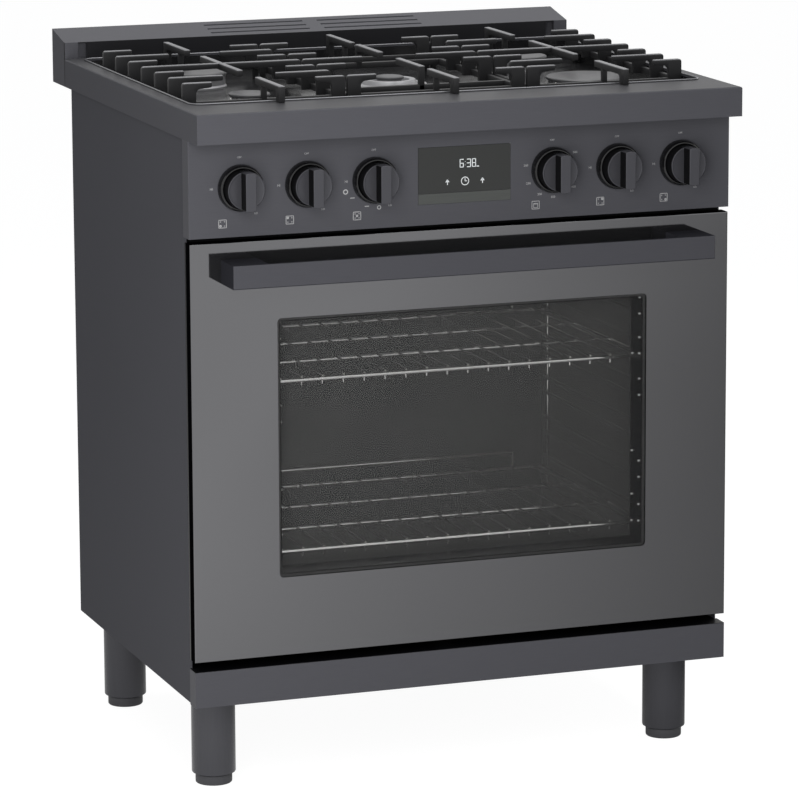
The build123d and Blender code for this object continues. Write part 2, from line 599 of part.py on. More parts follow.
def door_liner():
    """Inner pan of the door: a plate, the plug that closes the oven, and the window's tunnel."""
    sheet = LINER_SHEET
    front = FACE_SETBACK + DOOR_SHELL_DEPTH
    plate = block(-FACE_X, FACE_X, front, LINER_BACK, DOOR_BOTTOM, DOOR_TOP)
    plug_x = CAVITY_X - PLUG_CLEARANCE
    plug_low = CAVITY_FLOOR + PLUG_CLEARANCE
    plug_high = CAVITY_TOP - PLUG_CLEARANCE
    plug = block(-plug_x, plug_x, front, PLUG_BACK, plug_low, plug_high)
    plug = fillet(plug.edges().filter_by(Axis.Y), PLUG_CORNER)
    plug = chamfer(plug.edges().group_by(Axis.Y)[-1], sheet)
    liner = plate + plug
    liner -= block(-plug_x + sheet, plug_x - sheet, front, PLUG_BACK - sheet,
                   plug_low + sheet, plug_high - sheet)
    for side in (-1, 1):
        pocket = block(plug_x + sheet, FACE_X - sheet, front, LINER_BACK - sheet, DOOR_BOTTOM + sheet,
                       DOOR_TOP - sheet)
        liner -= pocket if side > 0 else mirror(pocket, about=Plane.YZ)
    tunnel = window_cut(INNER_WINDOW_MARGIN - sheet, FACE_SETBACK + WINDOW_GLASS, PLUG_BACK)
    liner += tunnel - window_cut(INNER_WINDOW_MARGIN, FACE_SETBACK, PLUG_BACK + OVERCUT)
    liner -= window_cut(INNER_WINDOW_MARGIN, front - OVERCUT, PLUG_BACK + OVERCUT)
    for side in (-1, 1):
        liner -= hinge_slot(side)
    return liner


def inner_glass():
    """Inner window pane, in the mouth of the tunnel."""
    margin = INNER_WINDOW_MARGIN + GLASS_CLEARANCE
    back = PLUG_BACK - INNER_GLASS_SETBACK
    return window_cut(margin, back - WINDOW_GLASS, back)


def door_handle():
    """Flat pull bar on two solid posts: one U-shaped outline, extruded upwards."""
    half = HALF_WIDTH - HANDLE_MARGIN
    front = FACE_SETBACK - HANDLE_REACH
    bar_back = front + HANDLE_BAR
    inner = half - HANDLE_POST_WIDTH
    right = [(half, FACE_SETBACK), (half, front)]
    left = [(-half, front), (-half, FACE_SETBACK), (-inner, FACE_SETBACK), (-inner, bar_back)]
    outline = right + left + [(inner, bar_back), (inner, FACE_SETBACK)]
    face = make_face(Polyline(*[(x, behind(d)) for x, d in outline], close=True))
    handle = Pos(0, 0, HANDLE_BOTTOM) * extrude(face, amount=HANDLE_HEIGHT)
    return fillet(handle.edges().group_by(Axis.Y)[0], HANDLE_EDGE_RADIUS)


def across(x, radius, length):
    """A round bar along X on the door's hinge axis."""
    return Pos(x, behind(HINGE_DEPTH), HINGE_HEIGHT) * Rot(0, 90, 0) * Cylinder(radius, length)


def hinge_cassettes():
    """Hinge halves inside the door: a channel, two ears and the pin they carry."""
    cases = []
    half = HINGE_ARM / 2 + HINGE_SIDE_GAP + HINGE_CHEEK
    inner = half - HINGE_CHEEK
    front = FACE_SETBACK + DOOR_SHEET
    back = front + HINGE_CASE_DEPTH
    low = DOOR_BOTTOM + DOOR_SHEET
    high = HINGE_HEIGHT + HINGE_CASE_HEIGHT
    for side in (-1, 1):
        x = side * HINGE_X
        case = block(x - half, x + half, front, back, low, high)
        case -= block(x - inner, x + inner, front + HINGE_CHEEK, back, low, high)
        for cheek in (-1, 1):
            case += across(x + cheek * (inner + half) / 2, HINGE_BOSS_RADIUS, HINGE_CHEEK)
        cases.append(case + across(x, HINGE_PIN_RADIUS, 2 * half))
    return Compound(children=cases)


def hinge_receivers():
    """Hinge halves on the body: a bored arm that turns up into a post, and the plate that holds it."""
    arms = []
    low = HINGE_HEIGHT - HINGE_BOSS_RADIUS
    high = HINGE_HEIGHT + HINGE_BOSS_RADIUS
    post = CAVITY_FRONT + HINGE_POST_GAP
    end = HINGE_DEPTH + HINGE_ARM_LENGTH
    plate_low = high + HINGE_BOSS_RADIUS
    plate_high = plate_low + HINGE_PLATE_HEIGHT
    head = high + HINGE_UPRIGHT
    outline = [(HINGE_DEPTH, low), (end, low), (end, head), (post, head), (CAVITY_FRONT, plate_high),
               (CAVITY_FRONT, plate_low), (post, high), (HINGE_DEPTH, high)]
    for side in (-1, 1):
        x = side * HINGE_X
        arm = side_profile(outline, x - HINGE_ARM / 2, x + HINGE_ARM / 2)
        arm += across(x, HINGE_BOSS_RADIUS, HINGE_ARM)
        arm -= across(x, HINGE_PIN_RADIUS + RUNNING_CLEARANCE, 2 * HINGE_ARM)
        arm += block(x - HINGE_PLATE_WIDTH / 2, x + HINGE_PLATE_WIDTH / 2, CAVITY_FRONT,
                     CAVITY_FRONT + HINGE_PLATE_SHEET, plate_low, plate_high)
        arms.append(arm)
    return Compound(children=arms)


# ---- controls and gas ----------------------------------------------------------------
def control_fascia():
    """Folded control panel: a face with holes for the stems and the display, and four returns."""
    sheet = FASCIA_SHEET
    panel = block(-HALF_WIDTH, HALF_WIDTH, FACE_SETBACK, SIDE_FRONT, FASCIA_BOTTOM, RIM_BOTTOM)
    panel = fillet(panel.edges().group_by(Axis.Y)[0].filter_by(Axis.Z), FASCIA_EDGE_RADIUS)
    panel -= block(-HALF_WIDTH + sheet, HALF_WIDTH - sheet, FACE_SETBACK + sheet, SIDE_FRONT,
                   FASCIA_BOTTOM + sheet, RIM_BOTTOM - sheet)
    half = DISPLAY_WIDTH / 2
    panel -= block(-half, half, FACE_SETBACK, FACE_SETBACK + sheet, DISPLAY_BOTTOM - STRIP_HEIGHT,
                   DISPLAY_BOTTOM + DISPLAY_HEIGHT)
    for x in KNOB_XS:
        panel -= rod(x, FACE_SETBACK - OVERCUT, FACE_SETBACK + sheet + OVERCUT, KNOB_HEIGHT,
                     FASCIA_HOLE_RADIUS)
    return panel


def display_glass():
    """Glass of the clock display, a little proud of the fascia."""
    half = DISPLAY_WIDTH / 2 - GLASS_CLEARANCE
    return block(-half, half, FACE_SETBACK - DISPLAY_PROUD, FACE_SETBACK + DISPLAY_GLASS,
                 DISPLAY_BOTTOM + GLASS_CLEARANCE / 2, DISPLAY_BOTTOM + DISPLAY_HEIGHT - GLASS_CLEARANCE)


def trim_strip():
    """Bare strip under the display."""
    half = DISPLAY_WIDTH / 2 - GLASS_CLEARANCE
    return block(-half, half, FACE_SETBACK - DISPLAY_PROUD, FACE_SETBACK + DISPLAY_GLASS,
                 DISPLAY_BOTTOM - STRIP_HEIGHT + GLASS_CLEARANCE, DISPLAY_BOTTOM - GLASS_CLEARANCE / 2)


def display_board():
    """Clock circuit board with its lit module behind the glass."""
    glass_back = FACE_SETBACK + DISPLAY_GLASS
    board_front = glass_back + MODULE_DEPTH
    middle = DISPLAY_BOTTOM + DISPLAY_HEIGHT / 2
    module = block(-MODULE_WIDTH / 2, MODULE_WIDTH / 2, glass_back, board_front,
                   middle - MODULE_HEIGHT / 2, middle + MODULE_HEIGHT / 2)
    board = block(-BOARD_WIDTH / 2, BOARD_WIDTH / 2, board_front, board_front + BOARD_SHEET,
                  middle - BOARD_HEIGHT / 2, middle + BOARD_HEIGHT / 2)
    return module + board


def gas_manifold():
    """Gas pipe behind the valves, turned back at its left end to the regulator."""
    right = KNOB_OFFSETS[-1] + MANIFOLD_END
    path = FilletPolyline((right, behind(MANIFOLD_DEPTH), KNOB_HEIGHT),
                          (-INLET_X, behind(MANIFOLD_DEPTH), KNOB_HEIGHT),
                          (-INLET_X, behind(BODY_REAR - 3 * CASE_SHEET - REGULATOR_LENGTH), KNOB_HEIGHT),
                          radius=PIPE_BEND_RATIO * PIPE_RADIUS)
    section = Plane(origin=path @ 0, z_dir=path % 0) * Circle(PIPE_RADIUS)
    pipe = sweep(section, path=path)
    front = MANIFOLD_DEPTH - PIPE_RADIUS
    for x in KNOB_XS:
        pipe -= rod(x, front - PIPE_RADIUS, front + PIPE_WALL, KNOB_HEIGHT, SPIGOT_RADIUS + SPIGOT_CLEARANCE)
    return pipe


def gas_valves():
    """One tap behind each knob: a turned body with the stem's bore, clamped to the manifold."""
    valves = []
    rear = MANIFOLD_DEPTH - PIPE_RADIUS
    flange = rear - VALVE_FLANGE
    tall = VALVE_RADIUS + VALVE_FLANGE_MARGIN
    bore_end = STEM_REAR + KNOB_PUSH + STEM_END_GAP
    for x in KNOB_XS:
        valve = rod(x, VALVE_FRONT, flange + OVERCUT, KNOB_HEIGHT, VALVE_RADIUS)
        valve += block(x - VALVE_RADIUS, x + VALVE_RADIUS, flange, rear,
                       KNOB_HEIGHT - tall, KNOB_HEIGHT + tall)
        valve += rod(x, rear - OVERCUT, rear + PIPE_WALL - SPIGOT_END_GAP, KNOB_HEIGHT, SPIGOT_RADIUS)
        valve -= rod(x, VALVE_FRONT - OVERCUT, bore_end, KNOB_HEIGHT, STEM_RADIUS + RUNNING_CLEARANCE)
        valves.append(valve)
    return Compound(children=valves)


def valve_stem(x):
    """Turned stem with the collar that keeps it behind the fascia."""
    stem = rod(x, STEM_FRONT, STEM_REAR, KNOB_HEIGHT, STEM_RADIUS)
    collar_rear = VALVE_FRONT - KNOB_PUSH - STEM_COLLAR_GAP
    return stem + rod(x, collar_rear - STEM_COLLAR_LENGTH, collar_rear, KNOB_HEIGHT, STEM_COLLAR_RADIUS)


def knob(x):
    """Round knob with a tall grip bar across its face and a socket for the stem."""
    rear = FACE_SETBACK - KNOB_REAR_GAP
    disc_front = FACE_SETBACK - KNOB_DISC_FRONT
    grip_front = FACE_SETBACK - KNOB_GRIP_FRONT
    disc = rod(x, disc_front, rear, KNOB_HEIGHT, KNOB_RADIUS)
    disc = chamfer(disc.edges().filter_by(GeomType.CIRCLE).group_by(Axis.Y)[0], KNOB_EDGE)
    grip = rod(x, grip_front, disc_front + OVERCUT, KNOB_HEIGHT, KNOB_RADIUS)
    grip &= block(x - KNOB_GRIP_WIDTH / 2, x + KNOB_GRIP_WIDTH / 2, grip_front, disc_front + OVERCUT,
                  KNOB_HEIGHT - KNOB_RADIUS, KNOB_HEIGHT + KNOB_RADIUS)
    socket = rod(x, STEM_FRONT - GLASS_CLEARANCE, rear + OVERCUT, KNOB_HEIGHT,
                 STEM_RADIUS + RUNNING_CLEARANCE)
    return disc + grip - socket


def knob_bezels():
    """Tapered ring round each knob, on the fascia."""
    rings = []
    inner = KNOB_RADIUS + BEZEL_CLEARANCE
    outline = [(inner, 0), (BEZEL_RADIUS, 0), (BEZEL_RADIUS, BEZEL_FOOT), (BEZEL_FRONT_RADIUS, BEZEL_DEPTH),
               (inner, BEZEL_DEPTH)]
    for x in KNOB_XS:
        ring = revolve(make_face(Plane.XZ * Polyline(*outline, close=True)), Axis.Z)
        rings.append(Pos(x, behind(FACE_SETBACK), KNOB_HEIGHT) * Rot(90, 0, 0) * ring)
    return Compound(children=rings)


def gas_inlet():
    """Pressure regulator and the pipe stub that leaves through the back."""
    rear = BODY_REAR - 3 * CASE_SHEET
    front = rear - REGULATOR_LENGTH
    half = REGULATOR_WIDTH / 2
    top = KNOB_HEIGHT + half
    body = block(-INLET_X - half, -INLET_X + half, front, rear, KNOB_HEIGHT - half, top)
    cover = upright(-INLET_X, rear - REGULATOR_LENGTH / 2, top, top + REGULATOR_COVER, REGULATOR_RADIUS)
    collar_end = BODY_REAR + INLET_COLLAR_PROUD
    collar = rod(-INLET_X, rear, collar_end, KNOB_HEIGHT, INLET_COLLAR_RADIUS)
    stub = rod(-INLET_X, rear, collar_end + INLET_STUB, KNOB_HEIGHT, PIPE_RADIUS)
    bore = rod(-INLET_X, rear, collar_end + INLET_STUB, KNOB_HEIGHT, PIPE_RADIUS - PIPE_WALL)
    return body + cover + collar + stub - bore


# ---- cooktop --------------------------------------------------------------------------
def well_block(grow, low, high):
    """The well's rounded outline, grown by a margin, between two heights."""
    width = 2 * (WELL_X + grow)
    length = WELL_REAR - WELL_FRONT + 2 * grow
    outline = RectangleRounded(width, length, WELL_CORNER + grow)
    return Pos(0, behind((WELL_FRONT + WELL_REAR) / 2), low) * extrude(outline, amount=high - low)


def cooktop_rim():
    """Pressed steel surround ahead of the backguard: a hollow band with a beaded lip round the well."""
    sheet = RIM_SHEET
    band = block(-HALF_WIDTH, HALF_WIDTH, 0, RISER_FRONT, RIM_BOTTOM, RIM_TOP)
    top = band.edges().group_by(Axis.Z)[-1]
    band = fillet(top.sort_by(Axis.Y)[:-1], RIM_EDGE_RADIUS)
    band -= block(-HALF_WIDTH + sheet, HALF_WIDTH - sheet, sheet, RISER_FRONT - sheet, RIM_BOTTOM + sheet,
                  RIM_TOP - sheet)
    band -= block(-HALF_WIDTH + RIM_RETURN, HALF_WIDTH - RIM_RETURN, SIDE_FRONT + SIDE_FOLD,
                  BODY_REAR - SIDE_FOLD, RIM_BOTTOM, RIM_BOTTOM + sheet)
    band += well_block(LIP_WIDTH, RIM_TOP - sheet, RIM_TOP + LIP_HEIGHT)
    return band - well_block(0, RIM_TOP - sheet - OVERCUT, RIM_TOP + LIP_HEIGHT + OVERCUT)


def burner_places():
    """Name, X, depth and cap radius of the four corner burners."""
    places = []
    for name, radius in BURNER_CAP_RADII.items():
        x = -BURNER_X if name.endswith("left") else BURNER_X
        depth = BURNER_FRONT if name.startswith("front") else BURNER_REAR
        places.append((name, x, depth, radius))
    return places


def burner_pan():
    """Enamelled tray under the grates, hung from the rim by its flange."""
    under = RIM_TOP - RIM_SHEET
    low = PAN_FLOOR - 2 * PAN_SHEET
    high = PAN_FLOOR + OVERCUT
    pan = well_block(0, PAN_FLOOR - PAN_SHEET, under)
    pan -= well_block(-PAN_SHEET, PAN_FLOOR, under + OVERCUT)
    pan += well_block(PAN_FLANGE, under - PAN_SHEET, under) - well_block(0, under - PAN_SHEET, under)
    for _, x, depth, radius in burner_places():
        pan -= upright(x, depth, low, high, radius - CAP_OVERHANG - HEAD_WALL - PAN_HOLE_MARGIN)
    return pan - upright(0, BURNER_MIDDLE, low, high, CENTRE_STEP_RADIUS - CENTRE_HOLE_MARGIN)


def burner_head(x, depth, cap_radius):
    """Cast burner head: a base flange, a hollow crown and a ring of flame ports."""
    crown = cap_radius - CAP_OVERHANG
    base = crown + HEAD_FLANGE
    inner = crown - HEAD_WALL
    throat = inner - HEAD_FLANGE
    foot = HEAD_FLANGE_HEIGHT
    outline = [(throat, 0), (base, 0), (base, foot), (crown, HEAD_SHOULDER), (crown, HEAD_HEIGHT),
               (inner, HEAD_HEIGHT), (inner, foot), (throat, foot)]
    head = revolve(make_face(Plane.XZ * Polyline(*outline, close=True)), Axis.Z)
    notch = Pos(0, 0, HEAD_HEIGHT - PORT_HEIGHT / 2) * Box(3 * HEAD_WALL, PORT_WIDTH, PORT_HEIGHT)
    head -= PolarLocations(inner + HEAD_WALL / 2, PORT_COUNT) * notch
    return Pos(x, behind(depth), PAN_FLOOR) * head


def centre_head():
    """Two-ring burner head: a wide low ring, a raised step, and an inner crown under a small cap."""
    ring = CENTRE_RING_RADIUS
    step = CENTRE_STEP_RADIUS
    trough = step - CENTRE_TROUGH
    crown = CENTRE_CAP_RADIUS - CAP_OVERHANG
    low = CENTRE_RING_HEIGHT
    high = CENTRE_STEP_HEIGHT
    outline = [(0, 0), (ring, 0), (ring + CENTRE_SLOPE, CENTRE_SLOPE), (ring, low),
               (step + CENTRE_STEP_SLOPE, low), (step, high), (trough, high), (trough - CENTRE_SLOPE, low),
               (crown, low), (crown, high), (0, high)]
    head = revolve(make_face(Plane.XZ * Polyline(*outline, close=True)), Axis.Z)
    notch = Pos(0, 0, high - PORT_HEIGHT / 2) * Box(1.5 * CENTRE_TROUGH, PORT_WIDTH, PORT_HEIGHT)
    head -= PolarLocations(step, PORT_COUNT) * notch
    return Pos(0, behind(BURNER_MIDDLE), PAN_FLOOR) * head


def burner_cap(x, depth, radius, height):
    cap = Cylinder(radius, CAP_THICKNESS, align=(Align.CENTER, Align.CENTER, Align.MIN))
    cap = chamfer(cap.edges().group_by(Axis.Z)[-1], CAP_EDGE)
    return Pos(x, behind(depth), height) * cap


def burner_caps():
    """Enamelled discs that lie on the burner heads."""
    caps = [burner_cap(x, depth, radius, PAN_FLOOR + HEAD_HEIGHT) for _, x, depth, radius in burner_places()]
    caps.append(burner_cap(0, BURNER_MIDDLE, CENTRE_CAP_RADIUS, PAN_FLOOR + CENTRE_STEP_HEIGHT))
    return Compound(children=caps)


def igniters():
    """Spark pins beside the burners: a ceramic on the pan with its electrode on top."""
    pins = []
    angle = math.radians(IGNITER_ANGLE)
    top = PAN_FLOOR + HEAD_HEIGHT
    places = [(x, depth, radius) for _, x, depth, radius in burner_places()]
    places.append((0, BURNER_MIDDLE, CENTRE_RING_RADIUS + CENTRE_SLOPE))
    for x, depth, radius in places:
        reach = radius + IGNITER_GAP + IGNITER_RADIUS
        pin_x = x + reach * math.cos(angle)
        pin_depth = depth + reach * math.sin(angle)
        pin = upright(pin_x, pin_depth, PAN_FLOOR, top - IGNITER_TIP, IGNITER_RADIUS)
        pins.append(pin + upright(pin_x, pin_depth, top - IGNITER_TIP - OVERCUT, top, IGNITER_TIP_RADIUS))
    return Compound(children=pins)


def backguard():
    """Low rear riser down to the rim's underside: sloped top with two groups of steam vents, grooved ends."""
    front = RISER_FRONT
    sheet = RIM_SHEET
    high_front = RIM_TOP + BACKGUARD_FRONT_HEIGHT
    high_rear = RIM_TOP + BACKGUARD_REAR_HEIGHT
    slope = (high_rear - high_front) / BACKGUARD_DEPTH
    outer = [(front, RIM_BOTTOM), (RIM_DEPTH, RIM_BOTTOM), (RIM_DEPTH, high_rear), (front, high_front)]
    inner = [(front + sheet, RIM_BOTTOM), (RIM_DEPTH - sheet, RIM_BOTTOM),
             (RIM_DEPTH - sheet, high_rear - sheet * (1 + slope)),
             (front + sheet, high_front - sheet * (1 - slope))]
    riser = side_profile(outer, -HALF_WIDTH, HALF_WIDTH)
    riser -= side_profile(inner, -HALF_WIDTH + END_CAP_WIDTH, HALF_WIDTH - END_CAP_WIDTH)
    middle = front + BACKGUARD_DEPTH / 2
    start = VENT_GROUP_GAP / 2
    for step in (-1, 0, 1):
        depth = middle + step * VENT_PITCH
        vent = block(start, start + VENT_LENGTH, depth - VENT_WIDTH / 2, depth + VENT_WIDTH / 2,
                     RIM_TOP, high_rear + OVERCUT)
        riser -= vent + mirror(vent, about=Plane.YZ)
    outside = HALF_WIDTH - END_GROOVE_START
    groove = block(outside - END_GROOVE_WIDTH, outside, front - OVERCUT, front + END_GROOVE_DEPTH, RIM_TOP,
                   high_front - sheet)
    return riser - groove - mirror(groove, about=Plane.YZ)


# ---- grates ------------------------------------------------------------------------------
def tooth(edge, tip, depth):
    """One comb tooth: a leg at the grate's edge that turns into a finger, seen from the front."""
    way = 1 if tip > edge else -1
    leg = edge + way * GRATE_LEG_WIDTH
    under = GRATE_TOP - GRATE_BAR_HEIGHT
    corners = [(edge, GRATE_RAIL_BOTTOM), (edge, GRATE_TOP), (tip, GRATE_TOP), (tip, under), (leg, under),
               (leg, GRATE_RAIL_BOTTOM)]
    outline = make_face(Polyline(*[(x, z) for x, z in corners], close=True))
    upper = outline.vertices().filter_by(lambda v: v.Y > GRATE_RAIL_BOTTOM + OVERCUT)
    soft = upper.filter_by(lambda v: v.X != tip or v.Y > under + OVERCUT)
    outline = fillet(soft, GRATE_CORNER)
    face = Plane(origin=(0, behind(depth) + GRATE_BAR / 2, 0), x_dir=(1, 0, 0), z_dir=(0, -1, 0)) * outline
    return extrude(face, amount=GRATE_BAR)


def low_rail(x0, x1, d0, d1):
    return block(x0, x1, d0, d1, GRATE_RAIL_BOTTOM, GRATE_RAIL_TOP)


def spine(x, d0, d1, leg_depth=None, leg_bottom=None):
    """A front-to-back bar; with a leg at its start when a leg depth is given."""
    half = SPINE_WIDTH / 2
    under = GRATE_TOP - GRATE_BAR_HEIGHT
    if leg_depth is None:
        return block(x - half, x + half, d0, d1, under, GRATE_TOP)
    toe = d0 + math.copysign(leg_depth, d1 - d0)
    outline = [(d0, leg_bottom), (d0, GRATE_TOP), (d1, GRATE_TOP), (d1, under), (toe, under),
               (toe, leg_bottom)]
    return side_profile(outline, x - half, x + half)


def grate_frame(x0, x1):
    """What all three grates share: low rails, corner feet and the end spines on their legs."""
    wide = GRATE_RAIL_WIDTH
    first = ROW_DEPTHS[0]
    last = ROW_DEPTHS[-1]
    half_bar = GRATE_BAR / 2
    middle = (x0 + x1) / 2
    frame = low_rail(x0, x0 + wide, first - half_bar, last + half_bar)
    frame += low_rail(x1 - wide, x1, first - half_bar, last + half_bar)
    for depth in (first, last):
        frame += low_rail(x0, x1, depth - half_bar, depth + half_bar)
        frame += block(middle - SPINE_WIDTH / 2, middle + SPINE_WIDTH / 2, depth - half_bar, depth + half_bar,
                       GRATE_RAIL_BOTTOM, GRATE_TOP)
        for x in (x0, x1 - wide):
            frame += block(x, x + wide, depth - half_bar, depth + half_bar, PAN_FLOOR, GRATE_RAIL_TOP)
    frame += spine(middle, SPINE_FRONT, BURNER_MIDDLE - SPINE_FRONT_TIP, SPINE_FOOT, RIM_TOP)
    frame += spine(middle, SPINE_REAR, BURNER_MIDDLE + SPINE_REAR_TIP, SPINE_FOOT, PAN_FLOOR)
    return frame


def side_grate(side):
    """Cast grate over two burners."""
    x0 = GRATE_SEAM + GRATE_SEAM_GAP / 2
    x1 = GRATE_REACH
    middle = (x0 + x1) / 2
    grate = grate_frame(x0, x1)
    for row, depth in enumerate(ROW_DEPTHS):
        if row == GRATE_ROWS // 2:
            length = (x1 - x0) / 2
        else:
            length = LONG_FINGER if row in (1, GRATE_ROWS - 2) else SHORT_FINGER
        grate += tooth(x0, x0 + length, depth)
        grate += tooth(x1, x1 - length, depth)
    half = SPINE_MIDDLE_LENGTH / 2
    grate += spine(middle, BURNER_MIDDLE - half, BURNER_MIDDLE + half)
    return grate if side > 0 else mirror(grate, about=Plane.YZ)


def centre_grate():
    """Cast grate over the middle burner, open over the burner, with a low rail round it."""
    edge = GRATE_SEAM - GRATE_SEAM_GAP / 2
    grate = grate_frame(-edge, edge)
    for row, depth in enumerate(ROW_DEPTHS):
        if row in (1, GRATE_ROWS - 2):
            continue
        length = CENTRE_FINGER if row == GRATE_ROWS // 2 else SHORT_FINGER
        grate += tooth(-edge, -edge + length, depth)
        grate += tooth(edge, edge - length, depth)
    for way in (-1, 1):
        near = BURNER_MIDDLE + way * SPINE_CENTRE_GAP / 2
        far = near + way * SPINE_CENTRE_LENGTH
        grate += spine(0, far, near, SPINE_WIDTH, GRATE_RAIL_BOTTOM)
        rail = sorted((far, far - way * GRATE_RAIL_WIDTH))
        grate += low_rail(-edge, edge, rail[0], rail[1])
    return grate


# ---- legs ----------------------------------------------------------------------------------
def leg_places():
    return [(side, end, side_x, depth) for side, side_x in (("left", -LEG_X), ("right", LEG_X))
            for end, depth in (("front", LEG_FRONT), ("rear", LEG_REAR))]


def leg_sleeves():
    """Steel sleeves under the base, each with a nut for the levelling foot."""
    sleeves = []
    low = FOOT_HEIGHT + FOOT_GAP
    nut_top = low + LEG_NUT_HEIGHT
    for _, _, x, depth in leg_places():
        sleeve = upright(x, depth, low, BASE_HEIGHT, SLEEVE_RADIUS)
        sleeve -= upright(x, depth, nut_top, BASE_HEIGHT - LEG_CAP, SLEEVE_RADIUS - SLEEVE_WALL)
        sleeve -= upright(x, depth, low - OVERCUT, nut_top + OVERCUT, STUD_RADIUS + RUNNING_CLEARANCE)
        sleeves.append(sleeve)
    return Compound(children=sleeves)


def levelling_foot(x, depth):
    """Round foot on a threaded stud."""
    foot = upright(x, depth, 0, FOOT_HEIGHT, FOOT_RADIUS)
    foot = chamfer(foot.edges().group_by(Axis.Z)[-1], FOOT_EDGE)
    return foot + upright(x, depth, FOOT_HEIGHT - OVERCUT, FOOT_HEIGHT + STUD_LENGTH, STUD_RADIUS)


# ---- every node ------------------------------------------------------------------------------
save(side_panel(-1), "side_panel_left")
save(side_panel(1), "side_panel_right")
save(rear_panel(), "rear_panel")
save(base_frame(), "base_frame")
save(front_frame(), "front_frame")
save(kick_panel(), "kick_panel")
save(oven_cavity(), "oven_cavity")
save(rack_guides(), "rack_guides")
for level, rack_height in RACK_HEIGHTS.items():
    save(oven_rack(rack_height), "oven_rack_" + level)
save(bake_burner(), "bake_burner")
save(broil_burner(), "broil_burner")
save(oven_lamp(), "oven_lamp")
save(door_gasket(), "door_gasket")
save(door_panel(), "door_panel")
save(door_glass(), "door_glass")
save(door_liner(), "door_liner")
save(inner_glass(), "inner_glass")
save(door_handle(), "door_handle")
save(hinge_cassettes(), "hinge_cassettes")
save(hinge_receivers(), "hinge_receivers")
save(control_fascia(), "control_fascia")
save(display_glass(), "display_glass")
save(trim_strip(), "trim_strip")
save(display_board(), "display_board")
save(gas_manifold(), "gas_manifold")
save(gas_valves(), "gas_valves")
for number, knob_x in enumerate(KNOB_XS, start=1):
    save(valve_stem(knob_x), "valve_stem_" + str(number))
    save(knob(knob_x), "knob_" + str(number))
save(knob_bezels(), "knob_bezels")
save(gas_inlet(), "gas_inlet")
save(cooktop_rim(), "cooktop_rim")
save(burner_pan(), "burner_pan")
for burner, burner_x, burner_depth, burner_radius in burner_places():
    save(burner_head(burner_x, burner_depth, burner_radius), "burner_head_" + burner)
save(centre_head(), "burner_head_centre")
save(burner_caps(), "burner_caps")
save(igniters(), "igniters")
save(backguard(), "backguard")
save(side_grate(-1), "grate_left")
save(centre_grate(), "grate_centre")
save(side_grate(1), "grate_right")
save(leg_sleeves(), "leg_sleeves")
for leg_side, leg_end, leg_x, leg_depth in leg_places():
    save(levelling_foot(leg_x, leg_depth), "foot_" + leg_end + "_" + leg_side)
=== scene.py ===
import math

import bmesh
import bpy
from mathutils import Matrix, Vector


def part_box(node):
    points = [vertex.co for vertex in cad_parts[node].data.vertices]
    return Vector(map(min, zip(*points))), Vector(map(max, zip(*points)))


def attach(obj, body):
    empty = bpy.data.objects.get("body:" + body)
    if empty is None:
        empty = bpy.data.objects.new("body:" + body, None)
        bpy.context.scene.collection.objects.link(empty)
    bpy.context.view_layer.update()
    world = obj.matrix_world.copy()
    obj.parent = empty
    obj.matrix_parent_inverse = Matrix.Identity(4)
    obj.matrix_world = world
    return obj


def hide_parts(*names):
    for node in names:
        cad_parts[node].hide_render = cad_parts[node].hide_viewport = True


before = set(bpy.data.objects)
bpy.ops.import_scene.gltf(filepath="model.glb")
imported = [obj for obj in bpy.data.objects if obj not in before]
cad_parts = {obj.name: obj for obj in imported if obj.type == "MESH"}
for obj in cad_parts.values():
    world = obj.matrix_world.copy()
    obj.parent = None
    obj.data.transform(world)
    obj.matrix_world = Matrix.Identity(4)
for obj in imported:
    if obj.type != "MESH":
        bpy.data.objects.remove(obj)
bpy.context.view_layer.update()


# ---- casing ----
# Folded sheet steel: two side panels in a dark satin stove paint, a galvanised back and base tray, and the
# face frame behind the door. The face frame and the base frame, which show through the door's gaps, are
# painted near black as shade. The panels are screwed together along the back with hexagon-head screws.
class Signal:
    """A socket of a material's nodes, on which sums can be written as on a number."""

    def __init__(self, finish, socket):
        self.finish = finish
        self.socket = socket

    def math(self, operation, first, second):
        return self.finish.node("ShaderNodeMath", {"operation": operation}, {0: first, 1: second})

    def __add__(self, other):
        return self.math("ADD", self, other)

    def __sub__(self, other):
        return self.math("SUBTRACT", self, other)

    def __rsub__(self, other):
        return self.math("SUBTRACT", other, self)

    def __mul__(self, other):
        return self.math("MULTIPLY", self, other)

    def __gt__(self, other):
        return self.math("GREATER_THAN", self, other)

    def __lt__(self, other):
        return self.math("LESS_THAN", self, other)

    __radd__ = __add__
    __rmul__ = __mul__


